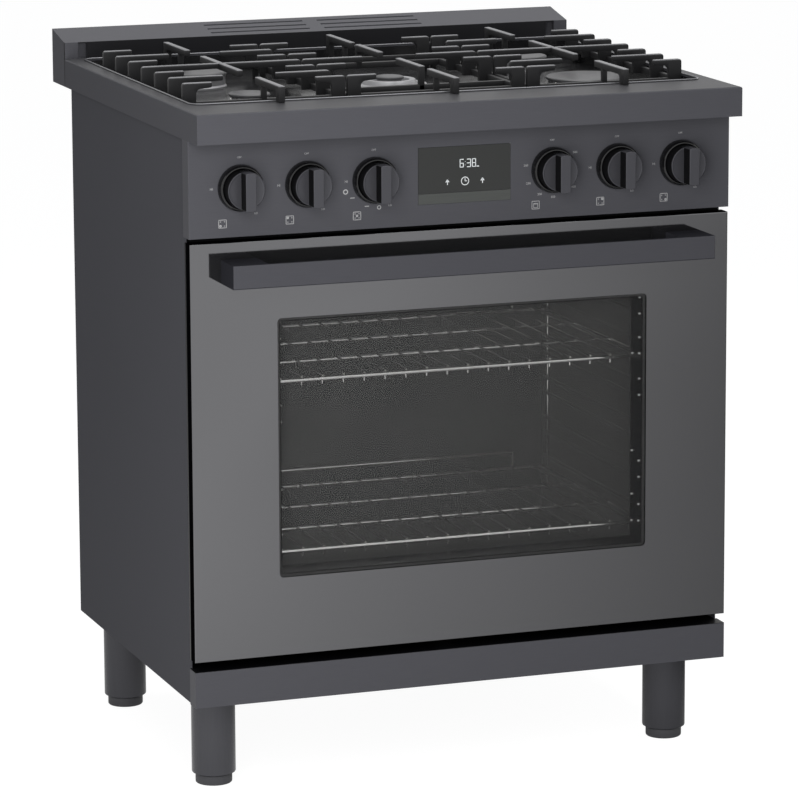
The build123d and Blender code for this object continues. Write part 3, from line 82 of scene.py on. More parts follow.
class Finish:
    """One finish, of a piece or of the studio's surround, and the nodes that paint it."""

    def __init__(self, name, store="materials"):
        self.material = getattr(bpy.data, store).new(name)
        self.material.use_nodes = True
        self.tree = self.material.node_tree
        self.tree.nodes.clear()

    def node(self, kind, settings, sockets, output=0):
        made = self.tree.nodes.new(kind)
        for key, value in settings.items():
            setattr(made, key, value)
        for key, value in sockets.items():
            if isinstance(value, Signal):
                self.tree.links.new(value.socket, made.inputs[key])
            else:
                made.inputs[key].default_value = value
        return Signal(self, made.outputs[output]) if made.outputs else None

    def place(self, stretch=(1.0, 1.0, 1.0)):
        """Object coordinates, drawn out along the axes whose factor is small."""
        here = self.node("ShaderNodeTexCoord", {}, {}, "Object")
        return self.node("ShaderNodeMapping", {}, {"Vector": here, "Scale": stretch})

    def axis(self, name):
        return self.node("ShaderNodeSeparateXYZ", {}, {"Vector": self.place()}, name)

    def noise(self, scale, detail=2.0, stretch=(1.0, 1.0, 1.0)):
        return self.node("ShaderNodeTexNoise", {}, {
            "Vector": self.place(stretch), "Scale": scale, "Detail": detail})

    def blend(self, factor, first, second):
        return self.node("ShaderNodeMix", {"data_type": "RGBA"}, {0: factor, 6: first, 7: second}, 2)

    def bump(self, height, distance, strength=1.0):
        return self.node("ShaderNodeBump", {}, {"Strength": strength, "Distance": distance, "Height": height})

    def ray(self, kind):
        """One where the ray that meets the surface is of a kind, and nought elsewhere."""
        return self.node("ShaderNodeLightPath", {}, {}, "Is " + kind + " Ray")

    def surface(self, sockets):
        return self.shown(self.node("ShaderNodeBsdfPrincipled", {}, sockets))

    def shown(self, shader, output="ShaderNodeOutputMaterial"):
        self.node(output, {}, {"Surface": shader})
        return self.material


def tone(red, green, blue):
    """A colour as a screen shows it, 0 to 255, made linear."""
    parts = []
    for level in (red, green, blue):
        share = level / 255
        parts.append(share / 12.92 if share <= 0.04045 else ((share + 0.055) / 1.055) ** 2.4)
    return (*parts, 1.0)


def dress(material, *names):
    """Gives a finish to pieces that come from the frame as they are."""
    for name in names:
        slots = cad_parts[name].data.materials
        slots.clear()
        slots.append(material)


def stove_paint():
    """Satin dark paint with a faint orange peel and a little unevenness in its sheen."""
    finish = Finish("stove_paint")
    cloud = finish.noise(6.0, 3.0)
    peel = finish.noise(900.0)
    return finish.surface({
        "Base Color": finish.blend(cloud, tone(67, 67, 71), tone(72, 72, 76)),
        "Roughness": 0.5 + 0.1 * cloud,
        "Specular IOR Level": 0.03,
        "Normal": finish.bump(peel, 0.00002, 0.3)})


def zinc():
    """Galvanised sheet: a spangle of flat crystals in slightly different greys."""
    finish = Finish("zinc")
    spangle = finish.node("ShaderNodeTexVoronoi", {}, {"Vector": finish.place(), "Scale": 140.0}, "Color")
    grey = finish.node("ShaderNodeRGBToBW", {}, {0: spangle})
    return finish.surface({
        "Base Color": finish.blend(grey, tone(128, 131, 134), tone(158, 161, 164)),
        "Metallic": 0.85,
        "Roughness": 0.38 + 0.2 * grey})


paint = stove_paint()
galvanised = zinc()
dress(paint, "side_panel_left", "side_panel_right")
dress(galvanised, "rear_panel")

FRONT = -0.3413           # the cooktop rim's front plane
BODY_BACK = 0.610 + FRONT
SIDE_X = 0.3777
SCREW_HEIGHTS = (0.150, 0.330, 0.510, 0.690, 0.866)
SCREW_EDGE = 0.0095
SEAM_STEP = 0.0012        # the base's flange is this much ahead of the sides' flanges
BASE_SCREW_X = (-0.22, 0.0, 0.22)
BASE_SCREW_Z = 0.146


def clear():
    bpy.ops.object.select_all(action="DESELECT")


def take(piece):
    clear()
    piece.select_set(True)
    bpy.context.view_layer.objects.active = piece


def settle(piece):
    """Puts a piece's place, turn and size into its mesh."""
    take(piece)
    bpy.ops.object.transform_apply(location=True, rotation=True, scale=True)
    return piece


def open_mesh():
    bpy.ops.object.mode_set(mode="EDIT")


def shut_mesh():
    bpy.ops.object.mode_set(mode="OBJECT")


def pick_all():
    bpy.ops.mesh.select_all(action="SELECT")


def pull(*move):
    """Extrudes what is picked."""
    bpy.ops.mesh.extrude_region_move(TRANSFORM_OT_translate={"value": move})


def turned(rings, place, turn=(0.0, 0.0, 0.0), sides=96):
    """A turned piece, from rings of (radius, height) along its own axis."""
    clear()
    bpy.ops.mesh.primitive_circle_add(vertices=sides, radius=rings[0][0], fill_type="NGON",
                                      location=(0, 0, rings[0][1]))
    piece = bpy.context.object
    open_mesh()
    pick_all()
    for (radius, height), (wider, higher) in zip(rings, rings[1:]):
        pull(0, 0, higher - height)
        bpy.ops.transform.resize(value=(wider / radius, wider / radius, 1), center_override=(0, 0, higher))
    pick_all()
    bpy.ops.mesh.normals_make_consistent(inside=False)
    shut_mesh()
    settle(piece)
    piece.rotation_euler = turn
    piece.location = place
    settle(piece)
    bpy.ops.object.shade_smooth_by_angle(angle=math.radians(32))
    return piece


def twin(piece, move):
    """A copy of a piece, with a mesh of its own, moved along."""
    take(piece)
    bpy.ops.object.duplicate()
    copy = bpy.context.object
    copy.location = move
    return settle(copy)


def joined(pieces):
    """Several parts welded or cast into one piece."""
    clear()
    for part in pieces:
        part.select_set(True)
    bpy.context.view_layer.objects.active = pieces[0]
    bpy.ops.object.join()
    return bpy.context.object


def fit(piece, name, material, body, slot, *replaced):
    """Names a finished piece, gives it its finish and says which body carries it."""
    piece.name = name
    piece.data.name = name
    piece.data.materials.clear()
    piece.data.materials.append(material)
    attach(piece, body)
    if replaced:
        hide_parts(*replaced)
    return piece


screw = turned([(0.0001, 0.0), (0.0052, 0.0), (0.0052, 0.0006), (0.0038, 0.0009), (0.0038, 0.0036),
                (0.0030, 0.0042), (0.0001, 0.0042)], (0, BODY_BACK - SEAM_STEP, 0), (-math.pi / 2, 0, 0), 6)
screws = []
for height in SCREW_HEIGHTS:
    for x in (-SIDE_X + SCREW_EDGE, SIDE_X - SCREW_EDGE):
        screws.append(twin(screw, (x, SEAM_STEP, height)))
for x in BASE_SCREW_X:
    screws.append(twin(screw, (x, 0, BASE_SCREW_Z)))
bpy.data.objects.remove(screw)
fit(joined(screws), "back_screws", galvanised, "range", "steel")


# ---- kick panel ----
# One folded panel under the door, in the same black stainless sheet as the fascia. Its grain runs from side
# to side, and its folds hook behind the side panels.
HAIR = (1500.0, 3.0, (0.02, 1.0, 1.0))       # scale, detail and stretch of the brushed grain
# Above this height the kick panel's top, in the gap under the door, is painted near black as shade.
KICK_SHADE_LINE = 0.1767


def black_stainless(name="black_stainless", level=66, gloss=0.12, shaded_above=None, upper=6):
    """Tinted stainless sheet, finely brushed from side to side, with painted shade above a height if it is
    given one.
    """
    finish = Finish(name)
    hair = finish.noise(*HAIR)
    cloud = finish.noise(3.0)
    colour = finish.blend(hair, tone(level, level, level + 4), tone(level + 8, level + 8, level + 12))
    # Above the given height the colour is painted shade.
    if shaded_above:
        painted_shade = finish.blend(hair, tone(upper, upper, upper + 2), tone(upper + 4, upper + 4, upper + 6))
        colour = finish.blend(finish.axis("Z") > shaded_above, colour, painted_shade)
    return finish.surface({
        "Base Color": colour,
        "Metallic": gloss,
        "Specular IOR Level": gloss,
        "Roughness": 0.38 + 0.06 * hair + 0.06 * cloud,
        "Normal": finish.bump(hair, 0.00001, 0.3)})


black_sheet = black_stainless()
dress(black_stainless("kick_sheet", shaded_above=KICK_SHADE_LINE), "kick_panel")


# ---- oven ----
# A pressed steel box in dark speckled enamel, with wire ladders on its side walls, a tube burner below the
# floor, a flat one under the ceiling, and a lamp behind a glass in the rear wall.
def oven_enamel():
    """Vitreous enamel fired with pale flecks."""
    finish = Finish("oven_enamel")
    fleck = finish.noise(520.0, 1.0)
    spots = fleck > 0.7
    cloud = finish.noise(9.0)
    ground = finish.blend(cloud, tone(22, 22, 24), tone(27, 27, 29))
    return finish.surface({
        "Base Color": finish.blend(spots, ground, tone(30, 30, 32)),
        "Roughness": 0.42 + 0.1 * cloud,
        "Specular IOR Level": 0.15})


def woven_seal():
    """Braided glass-fibre rope, grey, woven on the diagonal."""
    finish = Finish("woven_seal")
    weave = finish.node("ShaderNodeTexChecker", {}, {
        "Vector": finish.place(), "Color1": (0, 0, 0, 1), "Color2": (1, 1, 1, 1), "Scale": 700.0}, "Fac")
    return finish.surface({
        "Base Color": finish.blend(weave, tone(70, 70, 68), tone(104, 104, 100)),
        "Roughness": 0.85 + 0.1 * weave,
        "Normal": finish.bump(weave, 0.0002, 0.6)})


def mottled(name, grain, tones, sheen, metal=0.0, specular=0.5, relief=None):
    """
    A finish with one fine pattern between two tones. Its grain is a scale, detail and stretch, its sheen a
    roughness and what the pattern adds to it, and its relief a depth and strength.
    """
    finish = Finish(name)
    pattern = finish.noise(*grain)
    first, second = tones
    smooth, spread = sheen
    sockets = {
        "Base Color": finish.blend(pattern, tone(*first), tone(*second)),
        "Roughness": smooth + spread * pattern,
        "Metallic": metal,
        "Specular IOR Level": specular}
    if relief:
        sockets["Normal"] = finish.bump(pattern, *relief)
    return finish.surface(sockets)


# Nickel-plated steel wire, a little dulled by heat, and pressed glass over the oven lamp, which is off.
nickel = mottled("bright_wire", (40.0,), ((228, 228, 226), (240, 240, 238)), (0.1, 0.08), metal=1.0)
pressed_glass = mottled("lamp_glass", (160.0,), ((200, 200, 196), (226, 226, 220)), (0.12, 0.1))
enamel = oven_enamel()
dress(enamel, "oven_cavity")
dress(pressed_glass, "oven_lamp")
dress(woven_seal(), "door_gasket")
dress(galvanised, "bake_burner", "broil_burner")


def wire(start, end, radius, sides=12):
    """A straight drawn wire between two points on a line along X, Y or Z."""
    begin = Vector(start)
    run = Vector(end) - begin
    clear()
    bpy.ops.mesh.primitive_cylinder_add(vertices=sides, radius=radius, depth=run.length,
                                        location=begin + run / 2,
                                        rotation=run.to_track_quat("Z", "Y").to_euler())
    piece = settle(bpy.context.object)
    bpy.ops.object.shade_smooth_by_angle(angle=math.radians(40))
    return piece


def open_faces(piece):
    """Opens a piece's mesh for edits to its faces."""
    take(piece)
    open_mesh()
    bpy.ops.mesh.select_mode(type="FACE")


def close_up(gap=0.00001):
    """Merges an open mesh's doubles, turns its faces outwards and shuts it."""
    pick_all()
    bpy.ops.mesh.remove_doubles(threshold=gap)
    bpy.ops.mesh.normals_make_consistent(inside=False)
    shut_mesh()


def pick(piece, test, faces=False):
    """Selects the edges, or faces, of an open mesh whose middle and direction pass a test."""
    bpy.ops.mesh.select_all(action="DESELECT")
    mesh = bmesh.from_edit_mesh(piece.data)
    for part in mesh.faces if faces else mesh.edges:
        middle = part.calc_center_median() if faces else (part.verts[0].co + part.verts[1].co) / 2
        way = part.normal if faces else (part.verts[1].co - part.verts[0].co).normalized()
        if test(middle, way):
            part.select = True
    mesh.select_flush_mode()
    bmesh.update_edit_mesh(piece.data)


FACING_FRONT = (math.pi / 2, 0, 0)
RACK_HEIGHTS = {"lower": 0.314, "upper": 0.547}
RACK_FRONT = 0.108 + FRONT
RACK_REAR = 0.486 + FRONT
RACK_SIDE = 0.2884
RACK_WIRE = 0.0016
RACK_BAR = 0.003
RACK_CROSS = 0.0025
RACK_PITCH = 0.0296
RACK_WELD = 0.0006        # how deep the wires are fused into the frame
WIRES_BESIDE = 9          # wires on either side of the middle one
STOP_REACH = 0.240
STOP_RISE = 0.024
NOSE_BEND = 0.0026
NOSE_DROP = 0.0088
FRAME_BEND = 0.022


def nosed_wire(height):
    """The rack's middle wire, whose front end turns down over the frame."""
    clear()
    front = RACK_FRONT - RACK_BAR + RACK_WIRE
    rear = RACK_REAR + RACK_BAR
    bpy.ops.mesh.primitive_cylinder_add(vertices=10, radius=RACK_WIRE, depth=rear - front,
                                        location=(0, (front + rear) / 2, height), rotation=FACING_FRONT)
    piece = settle(bpy.context.object)
    open_faces(piece)
    pick(piece, lambda middle, way: way.y < -0.9, faces=True)
    bpy.ops.mesh.spin(steps=4, angle=math.pi / 2, center=(0, front, height - NOSE_BEND), axis=(1, 0, 0))
    pull(0, 0, -NOSE_DROP)
    close_up()
    bpy.ops.object.shade_smooth_by_angle(angle=math.radians(40))
    return piece


def rod_loop(width, front, rear, height, bend, rod, resolution):
    """A rod bent at four corners and welded into a loop."""
    clear()
    bpy.ops.mesh.primitive_plane_add(size=1, location=(0, (front + rear) / 2, height))
    loop = bpy.context.object
    loop.scale = (width, rear - front, 1)
    settle(loop)
    open_mesh()
    pick_all()
    bpy.ops.mesh.bevel(offset=bend, affect="VERTICES", segments=8)
    pick_all()
    bpy.ops.mesh.delete(type="ONLY_FACE")
    shut_mesh()
    bpy.ops.object.convert(target="CURVE")
    loop.data.bevel_depth = rod
    loop.data.bevel_resolution = resolution
    bpy.ops.object.convert(target="MESH")
    bpy.ops.object.shade_smooth()
    return loop


def welded_rack(level, height):
    """A rack: thick frame, two cross bars, nineteen nosed wires and a raised stop at the rear."""
    parts = [rod_loop(2 * RACK_SIDE, RACK_FRONT, RACK_REAR, height, FRAME_BEND, RACK_BAR, 3)]
    gap = (RACK_REAR - RACK_FRONT) / 3
    for row in (1, 2):
        y = RACK_FRONT + row * gap
        parts.append(wire((-RACK_SIDE, y, height), (RACK_SIDE, y, height), RACK_CROSS))
    middle = nosed_wire(height + RACK_BAR + RACK_WIRE - RACK_WELD)
    for number in range(-WIRES_BESIDE, WIRES_BESIDE + 1):
        if number:
            parts.append(twin(middle, (number * RACK_PITCH, 0, 0)))
    parts.append(middle)
    stop = height + STOP_RISE
    parts.append(wire((-STOP_REACH, RACK_REAR, stop), (STOP_REACH, RACK_REAR, stop), RACK_CROSS))
    for x in (-STOP_REACH, STOP_REACH):
        parts.append(wire((x, RACK_REAR, height), (x, RACK_REAR, stop), RACK_CROSS))
    fit(joined(parts), "rack_of_wire_" + level, nickel, "rack_" + level, "wire", "oven_rack_" + level)


for level, height in RACK_HEIGHTS.items():
    welded_rack(level, height)

GUIDE_POST = 0.2942
GUIDE_RAIL = 0.2896
GUIDE_WIRE = 0.0024
GUIDE_FRONT = 0.106 + FRONT
GUIDE_REAR = 0.489 + FRONT
GUIDE_LOW = RACK_HEIGHTS["lower"] - 0.0058
GUIDE_PITCH = 0.05825
GUIDE_LEVELS = 6
LOOP_HEIGHT = 0.022
POST_DEPTHS = (0.128, 0.484)
POST_BELOW = 0.018
POST_ABOVE = 0.006
for side in (-1, 1):
    ladder = []
    highest = GUIDE_LOW + (GUIDE_LEVELS - 1) * GUIDE_PITCH + LOOP_HEIGHT + POST_ABOVE
    posts = []
    for depth in POST_DEPTHS:
        posts.append(wire((side * GUIDE_POST, depth + FRONT, GUIDE_LOW - POST_BELOW),
                          (side * GUIDE_POST, depth + FRONT, highest), GUIDE_WIRE))
    hand = "left" if side < 0 else "right"
    fit(joined(posts), "guide_posts_" + hand, nickel, "range", "wire")
    for level in range(GUIDE_LEVELS):
        height = GUIDE_LOW + level * GUIDE_PITCH
        rail = wire((side * GUIDE_RAIL, GUIDE_FRONT, height), (side * GUIDE_RAIL, GUIDE_REAR, height),
                    GUIDE_WIRE)
        ladder.append(rail)
        open_faces(rail)
        pick(rail, lambda middle, way: way.y < -0.9, faces=True)
        bpy.ops.mesh.spin(steps=8, angle=math.pi, axis=(1, 0, 0),
                          center=(side * GUIDE_RAIL, GUIDE_FRONT, height + LOOP_HEIGHT / 2))
        pull(0, GUIDE_REAR - GUIDE_FRONT, 0)
        close_up()
    guide = fit(joined(ladder), "guide_" + hand, enamel, "range", "wire")
    if side > 0:
        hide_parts("rack_guides")


# ---- door ----
# A tinted glass sheet bonded to a black steel tray, with a clear window in it. Behind it are the enamelled
# liner, whose plug closes the oven, the inner pane, and a sprung hinge at each lower corner.
DOOR_FACE = 0.042 + FRONT
GLASS_EDGE = 0.0009       # the sheet's rounded edge, which is still mirror glass


def tinted_front():
    """Dark mirror glass on the face, matt black on the tray's sides."""
    finish = Finish("tinted_front")
    cloud = finish.noise(2.5)
    face = finish.axis("Y") < DOOR_FACE + GLASS_EDGE
    sheen = finish.blend(cloud, tone(112, 112, 114), tone(117, 117, 119))
    return finish.surface({
        "Base Color": finish.blend(face, tone(6, 6, 7), sheen),
        "Metallic": 0.95 * face,
        "Roughness": 0.6 - 0.54 * face,
        "Specular IOR Level": 0.0})


def see_through(name, first, second, polish, veil):
    """A window pane: only a light veil stands in the way, a little uneven; its colour is partly the glass's
    tint and partly painted light that brightens the window.
    """
    finish = Finish(name)
    haze = finish.noise(14.0, 3.0)
    return finish.surface({
        "Base Color": finish.blend(haze, tone(*first), tone(*second)),
        "Roughness": polish + 0.04 * haze,
        "Alpha": veil + 0.02 * haze})


def black_enamel(name, level, gloss):
    """Black enamel with a slight ripple."""
    return mottled(name, (30.0,), ((level, level, level + 1), (level + 6, level + 6, level + 7)),
                   (0.16, 0.1), specular=gloss, relief=(0.0004, 0.2))


dress(tinted_front(), "door_panel")
# The outer pane's grey veil is its dark tint lifted by a painted reflection; the inner pane's pale veil is
# painted light.
dress(see_through("window_glass", (56, 56, 56), (64, 64, 64), 0.03, 0.09), "door_glass")
dress(see_through("clear_pane", (122, 122, 120), (132, 132, 130), 0.04, 0.08), "inner_glass")
dress(black_enamel("liner_enamel", 16, 0.15), "door_liner")
dress(galvanised, "hinge_cassettes", "hinge_receivers")
# The frames behind the door's gaps are painted near black, as the shade that fills the gaps.
painted_gap_shade = mottled("painted_gap_shade", (60.0, 3.0), ((8, 8, 9), (14, 14, 15)), (0.6, 0.1), specular=0.1)
dress(painted_gap_shade, "front_frame", "base_frame")

BAR_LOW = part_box("door_handle")[0][2]
BAR_SHADE_BAND = 0.0012        # a band this high along the bar's lower front edge is painted dark as shade
BAR_FACE = FRONT - 0.0110


def handle_metal():
    """The bar's front is brushed like the fascia; its back, its ends and its posts are painted black, and a
    narrow band along the front's lower edge is painted shade.
    """
    finish = Finish("handle_metal")
    hair = finish.noise(*HAIR)
    # Below the shade band the front is painted dark as shade.
    front = (finish.axis("Y") < BAR_FACE) * (finish.axis("Z") > BAR_LOW + BAR_SHADE_BAND)
    brushed = finish.blend(hair, tone(64, 64, 68), tone(72, 72, 76))
    return finish.surface({
        "Base Color": finish.blend(front, tone(44, 44, 48), brushed),
        "Metallic": 0.2 * front,
        "Specular IOR Level": 0.0,
        "Roughness": 0.42 + 0.08 * hair})


dress(handle_metal(), "door_handle")


# ---- glass seat ----
# A narrow folded steel frame behind the window pane's border, in grey heat-proof paint. It is clipped into
# the door's tray, carries the pane and hides the hollow door.
PANE_X = 0.2617
PANE_LOW = 0.2958
PANE_HIGH = 0.6446
SEAT_EDGE = 0.0002
SEAT_WIDTH = 0.0038
SEAT_DEPTH = 0.0046       # from the door's face to the middle of the frame's sheet
SEAT_CORNER = 0.0058
SEAT_SHEET = 0.0008
clear()
bpy.ops.mesh.primitive_plane_add(size=1, location=(0, DOOR_FACE + SEAT_DEPTH, (PANE_LOW + PANE_HIGH) / 2),
                                 rotation=FACING_FRONT)
seat = bpy.context.object
seat.scale = (2 * (PANE_X - SEAT_EDGE), PANE_HIGH - PANE_LOW - 2 * SEAT_EDGE, 1)
settle(seat)
open_mesh()
pick_all()
bpy.ops.mesh.bevel(offset=SEAT_CORNER, affect="VERTICES", segments=4)
pick_all()
bpy.ops.mesh.inset(thickness=SEAT_WIDTH)
bpy.ops.mesh.delete(type="FACE")
shut_mesh()
sheet = seat.modifiers.new("sheet", "SOLIDIFY")
sheet.thickness = SEAT_SHEET
sheet.offset = 0.0
bpy.ops.object.modifier_apply(modifier="sheet")
seat_paint = mottled("seat_paint", (300.0,), ((50, 50, 50), (56, 56, 56)), (0.55, 0.1), specular=0.1)
fit(seat, "glass_seat", seat_paint, "door", "black_steel")


# ---- glazing pins ----
# Small pins of off-white fired ceramic down both walls of the window's tunnel, which keep the outer pane and
# the inner one apart. Each is pressed into a hole in the wall.
TUNNEL_X = 0.2567
PIN_R = 0.0012
PIN_REACH = 0.0022
PIN_ROOT = 0.0006
PIN_ROWS = ((0.052, (0.638, 0.6155, 0.583, 0.561, 0.526, 0.5035, 0.4125, 0.390, 0.352, 0.329)),
            (0.076, (0.557, 0.422, 0.3615, 0.3245)))
pins = []
for side in (-1, 1):
    for depth, heights in PIN_ROWS:
        for height in heights:
            pins.append(wire((side * (TUNNEL_X - PIN_REACH), depth + FRONT, height),
                             (side * (TUNNEL_X + PIN_ROOT), depth + FRONT, height), PIN_R, 10))
pin_white = mottled("pin_white", (600.0,), ((176, 176, 174), (196, 196, 194)), (0.5, 0.1))
fit(joined(pins), "glazing_pins", pin_white, "door", "steel")


# ---- controls ----
# A folded fascia in black stainless with six knobs, each on a push-to-turn stem, and a glass clock display
# over a bare metal strip. The marks are screen-printed.
FACE = DOOR_FACE          # the fascia is flush with the door
KNOB_Z = 0.820
KNOB_X = (-0.3104, -0.2185, -0.1257, 0.1257, 0.2185, 0.3104)


def circuit_board():
    """Green board with its lacquer."""
    finish = Finish("circuit_board")
    trace = finish.noise(420.0, 1.0)
    return finish.surface({
        "Base Color": finish.blend(trace > 0.52, tone(20, 66, 40), tone(34, 92, 56)),
        "Roughness": 0.35 + 0.1 * trace})


# Smoked glass over the clock, a satin strip under it, turned brass taps and varnished mill-scale pipe.
smoked = mottled("display_pane", (9.0,), ((32, 33, 32), (37, 38, 37)), (0.14, 0.06), specular=0.4)
satin = mottled("strip_metal", (1200.0, 2.0, (0.03, 1.0, 1.0)), ((62, 64, 62), (74, 76, 74)),
                (0.36, 0.1), metal=0.3)
brass = mottled("yellow_brass", (900.0, 2.0, (1.0, 0.1, 1.0)), ((176, 142, 82), (198, 164, 100)),
                (0.28, 0.14), metal=1.0)
pipe = mottled("black_pipe", (70.0, 4.0), ((46, 44, 43), (70, 67, 65)), (0.45, 0.25), metal=0.4)
dress(black_sheet, "control_fascia")
dress(smoked, "display_glass")
dress(satin, "trim_strip")
dress(circuit_board(), "display_board")
dress(brass, "gas_valves")
dress(pipe, "gas_manifold", "gas_inlet")
for number in range(1, len(KNOB_X) + 1):
    dress(nickel, "valve_stem_" + str(number))

# Knobs turned from tinted metal and lightly blasted, satin black on the bar's flanks and the disc's skirt,
# and a moulded black bezel as smooth as a mirror.
knob_shade = mottled("knob_metal", (2600.0, 1.0), ((66, 66, 70), (74, 74, 78)), (0.26, 0.1),
                     metal=0.5, specular=0.2, relief=(0.00001, 0.3))
knob_black = mottled("knob_side", (500.0,), ((9, 9, 10), (14, 14, 15)), (0.5, 0.1), specular=0.08)
bezel_gloss = mottled("gloss_plastic", (60.0,), ((9, 9, 10), (14, 14, 15)), (0.08, 0.05))
KNOB_R = 0.0253
KNOB_BACK = 0.0035        # knob's rear ahead of the fascia
KNOB_DISC = 0.028
KNOB_GRIP = 0.047
GRIP_HALF = 0.0073
GRIP_BACK = KNOB_BACK + 0.012


def softened(piece, width, segments=2, limit=40, smooth=35):
    """Rounds a piece's edges that are sharper than a limit, in degrees."""
    take(piece)
    rounding = piece.modifiers.new("rounding", "BEVEL")
    rounding.width = width
    rounding.segments = segments
    rounding.limit_method = "ANGLE"
    rounding.angle_limit = math.radians(limit)
    bpy.ops.object.modifier_apply(modifier="rounding")
    bpy.ops.object.shade_smooth_by_angle(angle=math.radians(smooth))
    return piece


def knob_body():
    """A dished disc with a tall bar right across it, at the middle of the fascia."""
    disc = turned([(0.0085, KNOB_BACK), (KNOB_R - 0.0008, KNOB_BACK), (KNOB_R, KNOB_BACK + 0.0008),
                   (KNOB_R, KNOB_DISC - 0.0012), (KNOB_R - 0.0004, KNOB_DISC - 0.0004),
                   (KNOB_R - 0.0012, KNOB_DISC), (KNOB_R - 0.0022, KNOB_DISC - 0.0005),
                   (KNOB_R - 0.0027, KNOB_DISC - 0.0006), (0.0001, KNOB_DISC - 0.0006)],
                  (0, FACE, KNOB_Z), FACING_FRONT)
    bar = turned([(0.0001, GRIP_BACK), (KNOB_R, GRIP_BACK), (KNOB_R, KNOB_GRIP), (0.0001, KNOB_GRIP)],
                 (0, FACE, KNOB_Z), FACING_FRONT)
    take(bar)
    open_mesh()
    for way in (-1, 1):
        pick_all()
        bpy.ops.mesh.bisect(plane_co=(way * GRIP_HALF, 0, 0), plane_no=(way, 0, 0), use_fill=True,
                            clear_outer=True)
    pick_all()
    bpy.ops.mesh.dissolve_limited(angle_limit=math.radians(1.5))
    pick_all()
    bpy.ops.mesh.normals_make_consistent(inside=False)
    shut_mesh()
    softened(bar, 0.0009, segments=3, limit=50, smooth=32)
    return joined([disc, bar])


pattern = knob_body()
ring = turned([(0.0263, 0.0), (0.0310, 0.0), (0.0310, 0.0030), (0.0306, 0.0058), (0.0301, 0.0078),
               (0.0295, 0.0094), (0.0288, 0.0104), (0.0280, 0.0109), (0.0272, 0.0110), (0.0266, 0.0107),
               (0.0263, 0.0101), (0.0263, 0.0)],
              (0, FACE, KNOB_Z), FACING_FRONT)
open_faces(ring)
pick(ring, lambda middle, way: abs(way.y) > 0.9 and math.hypot(middle.x, middle.z - KNOB_Z) < 0.001,
     faces=True)
bpy.ops.mesh.delete(type="ONLY_FACE")
close_up(0.00002)
rings = []
for number, x in enumerate(KNOB_X, start=1):
    knob = twin(pattern, (x, 0, 0))
    fit(knob, "turned_knob_" + str(number), knob_shade, "dial_" + str(number), "knob_black",
        "knob_" + str(number))
    knob.data.materials.append(knob_black)
    for face in knob.data.polygons:
        spot = face.center
        flank = abs(face.normal.x) > 0.95 and abs(abs(spot.x - x) - GRIP_HALF) < 0.0003
        skirt = abs(face.normal.y) < 0.1 and spot.y > FACE - KNOB_DISC + 0.0015
        face.material_index = 1 if flank or skirt else 0
    rings.append(twin(ring, (x, 0, 0)))
bpy.data.objects.remove(pattern)
bpy.data.objects.remove(ring)
fit(joined(rings), "bezel_rings", bezel_gloss, "range", "gloss_black", "knob_bezels")


INK = 0.00012


def flat(x0, x1, z0, z1, face=FACE):
    """A printed bar on a vertical face."""
    clear()
    bpy.ops.mesh.primitive_cube_add(size=1, location=((x0 + x1) / 2, face - INK / 2, (z0 + z1) / 2),
                                    scale=(x1 - x0, INK, z1 - z0))
    return settle(bpy.context.object)


def printed_ring(x, z, radius, line, sides=32, face=FACE):
    """A printed circle."""
    clear()
    bpy.ops.mesh.primitive_torus_add(major_segments=sides, minor_segments=4, major_radius=radius,
                                     minor_radius=line / 2, location=(x, face - INK / 2, z),
                                     rotation=FACING_FRONT)
    piece = bpy.context.object
    piece.scale = (1, 1, INK / line)
    return settle(piece)


def lettering(words, x, z, size):
    """Printed words or figures, centred on a point."""
    clear()
    bpy.ops.object.text_add(location=(x, FACE, z), rotation=FACING_FRONT)
    piece = bpy.context.object
    piece.data.body = words
    piece.data.size = size
    piece.data.align_x = "CENTER"
    piece.data.align_y = "CENTER"
    piece.data.extrude = INK / 2
    piece.data.resolution_u = 2
    bpy.ops.object.convert(target="MESH")
    return settle(piece)


def square(x, z, half, line):
    """A printed frame of four lines."""
    return [flat(x - half, x + half, z - half, z - half + line),
            flat(x - half, x + half, z + half - line, z + half),
            flat(x - half, x - half + line, z - half, z + half),
            flat(x + half - line, x + half, z - half, z + half)]


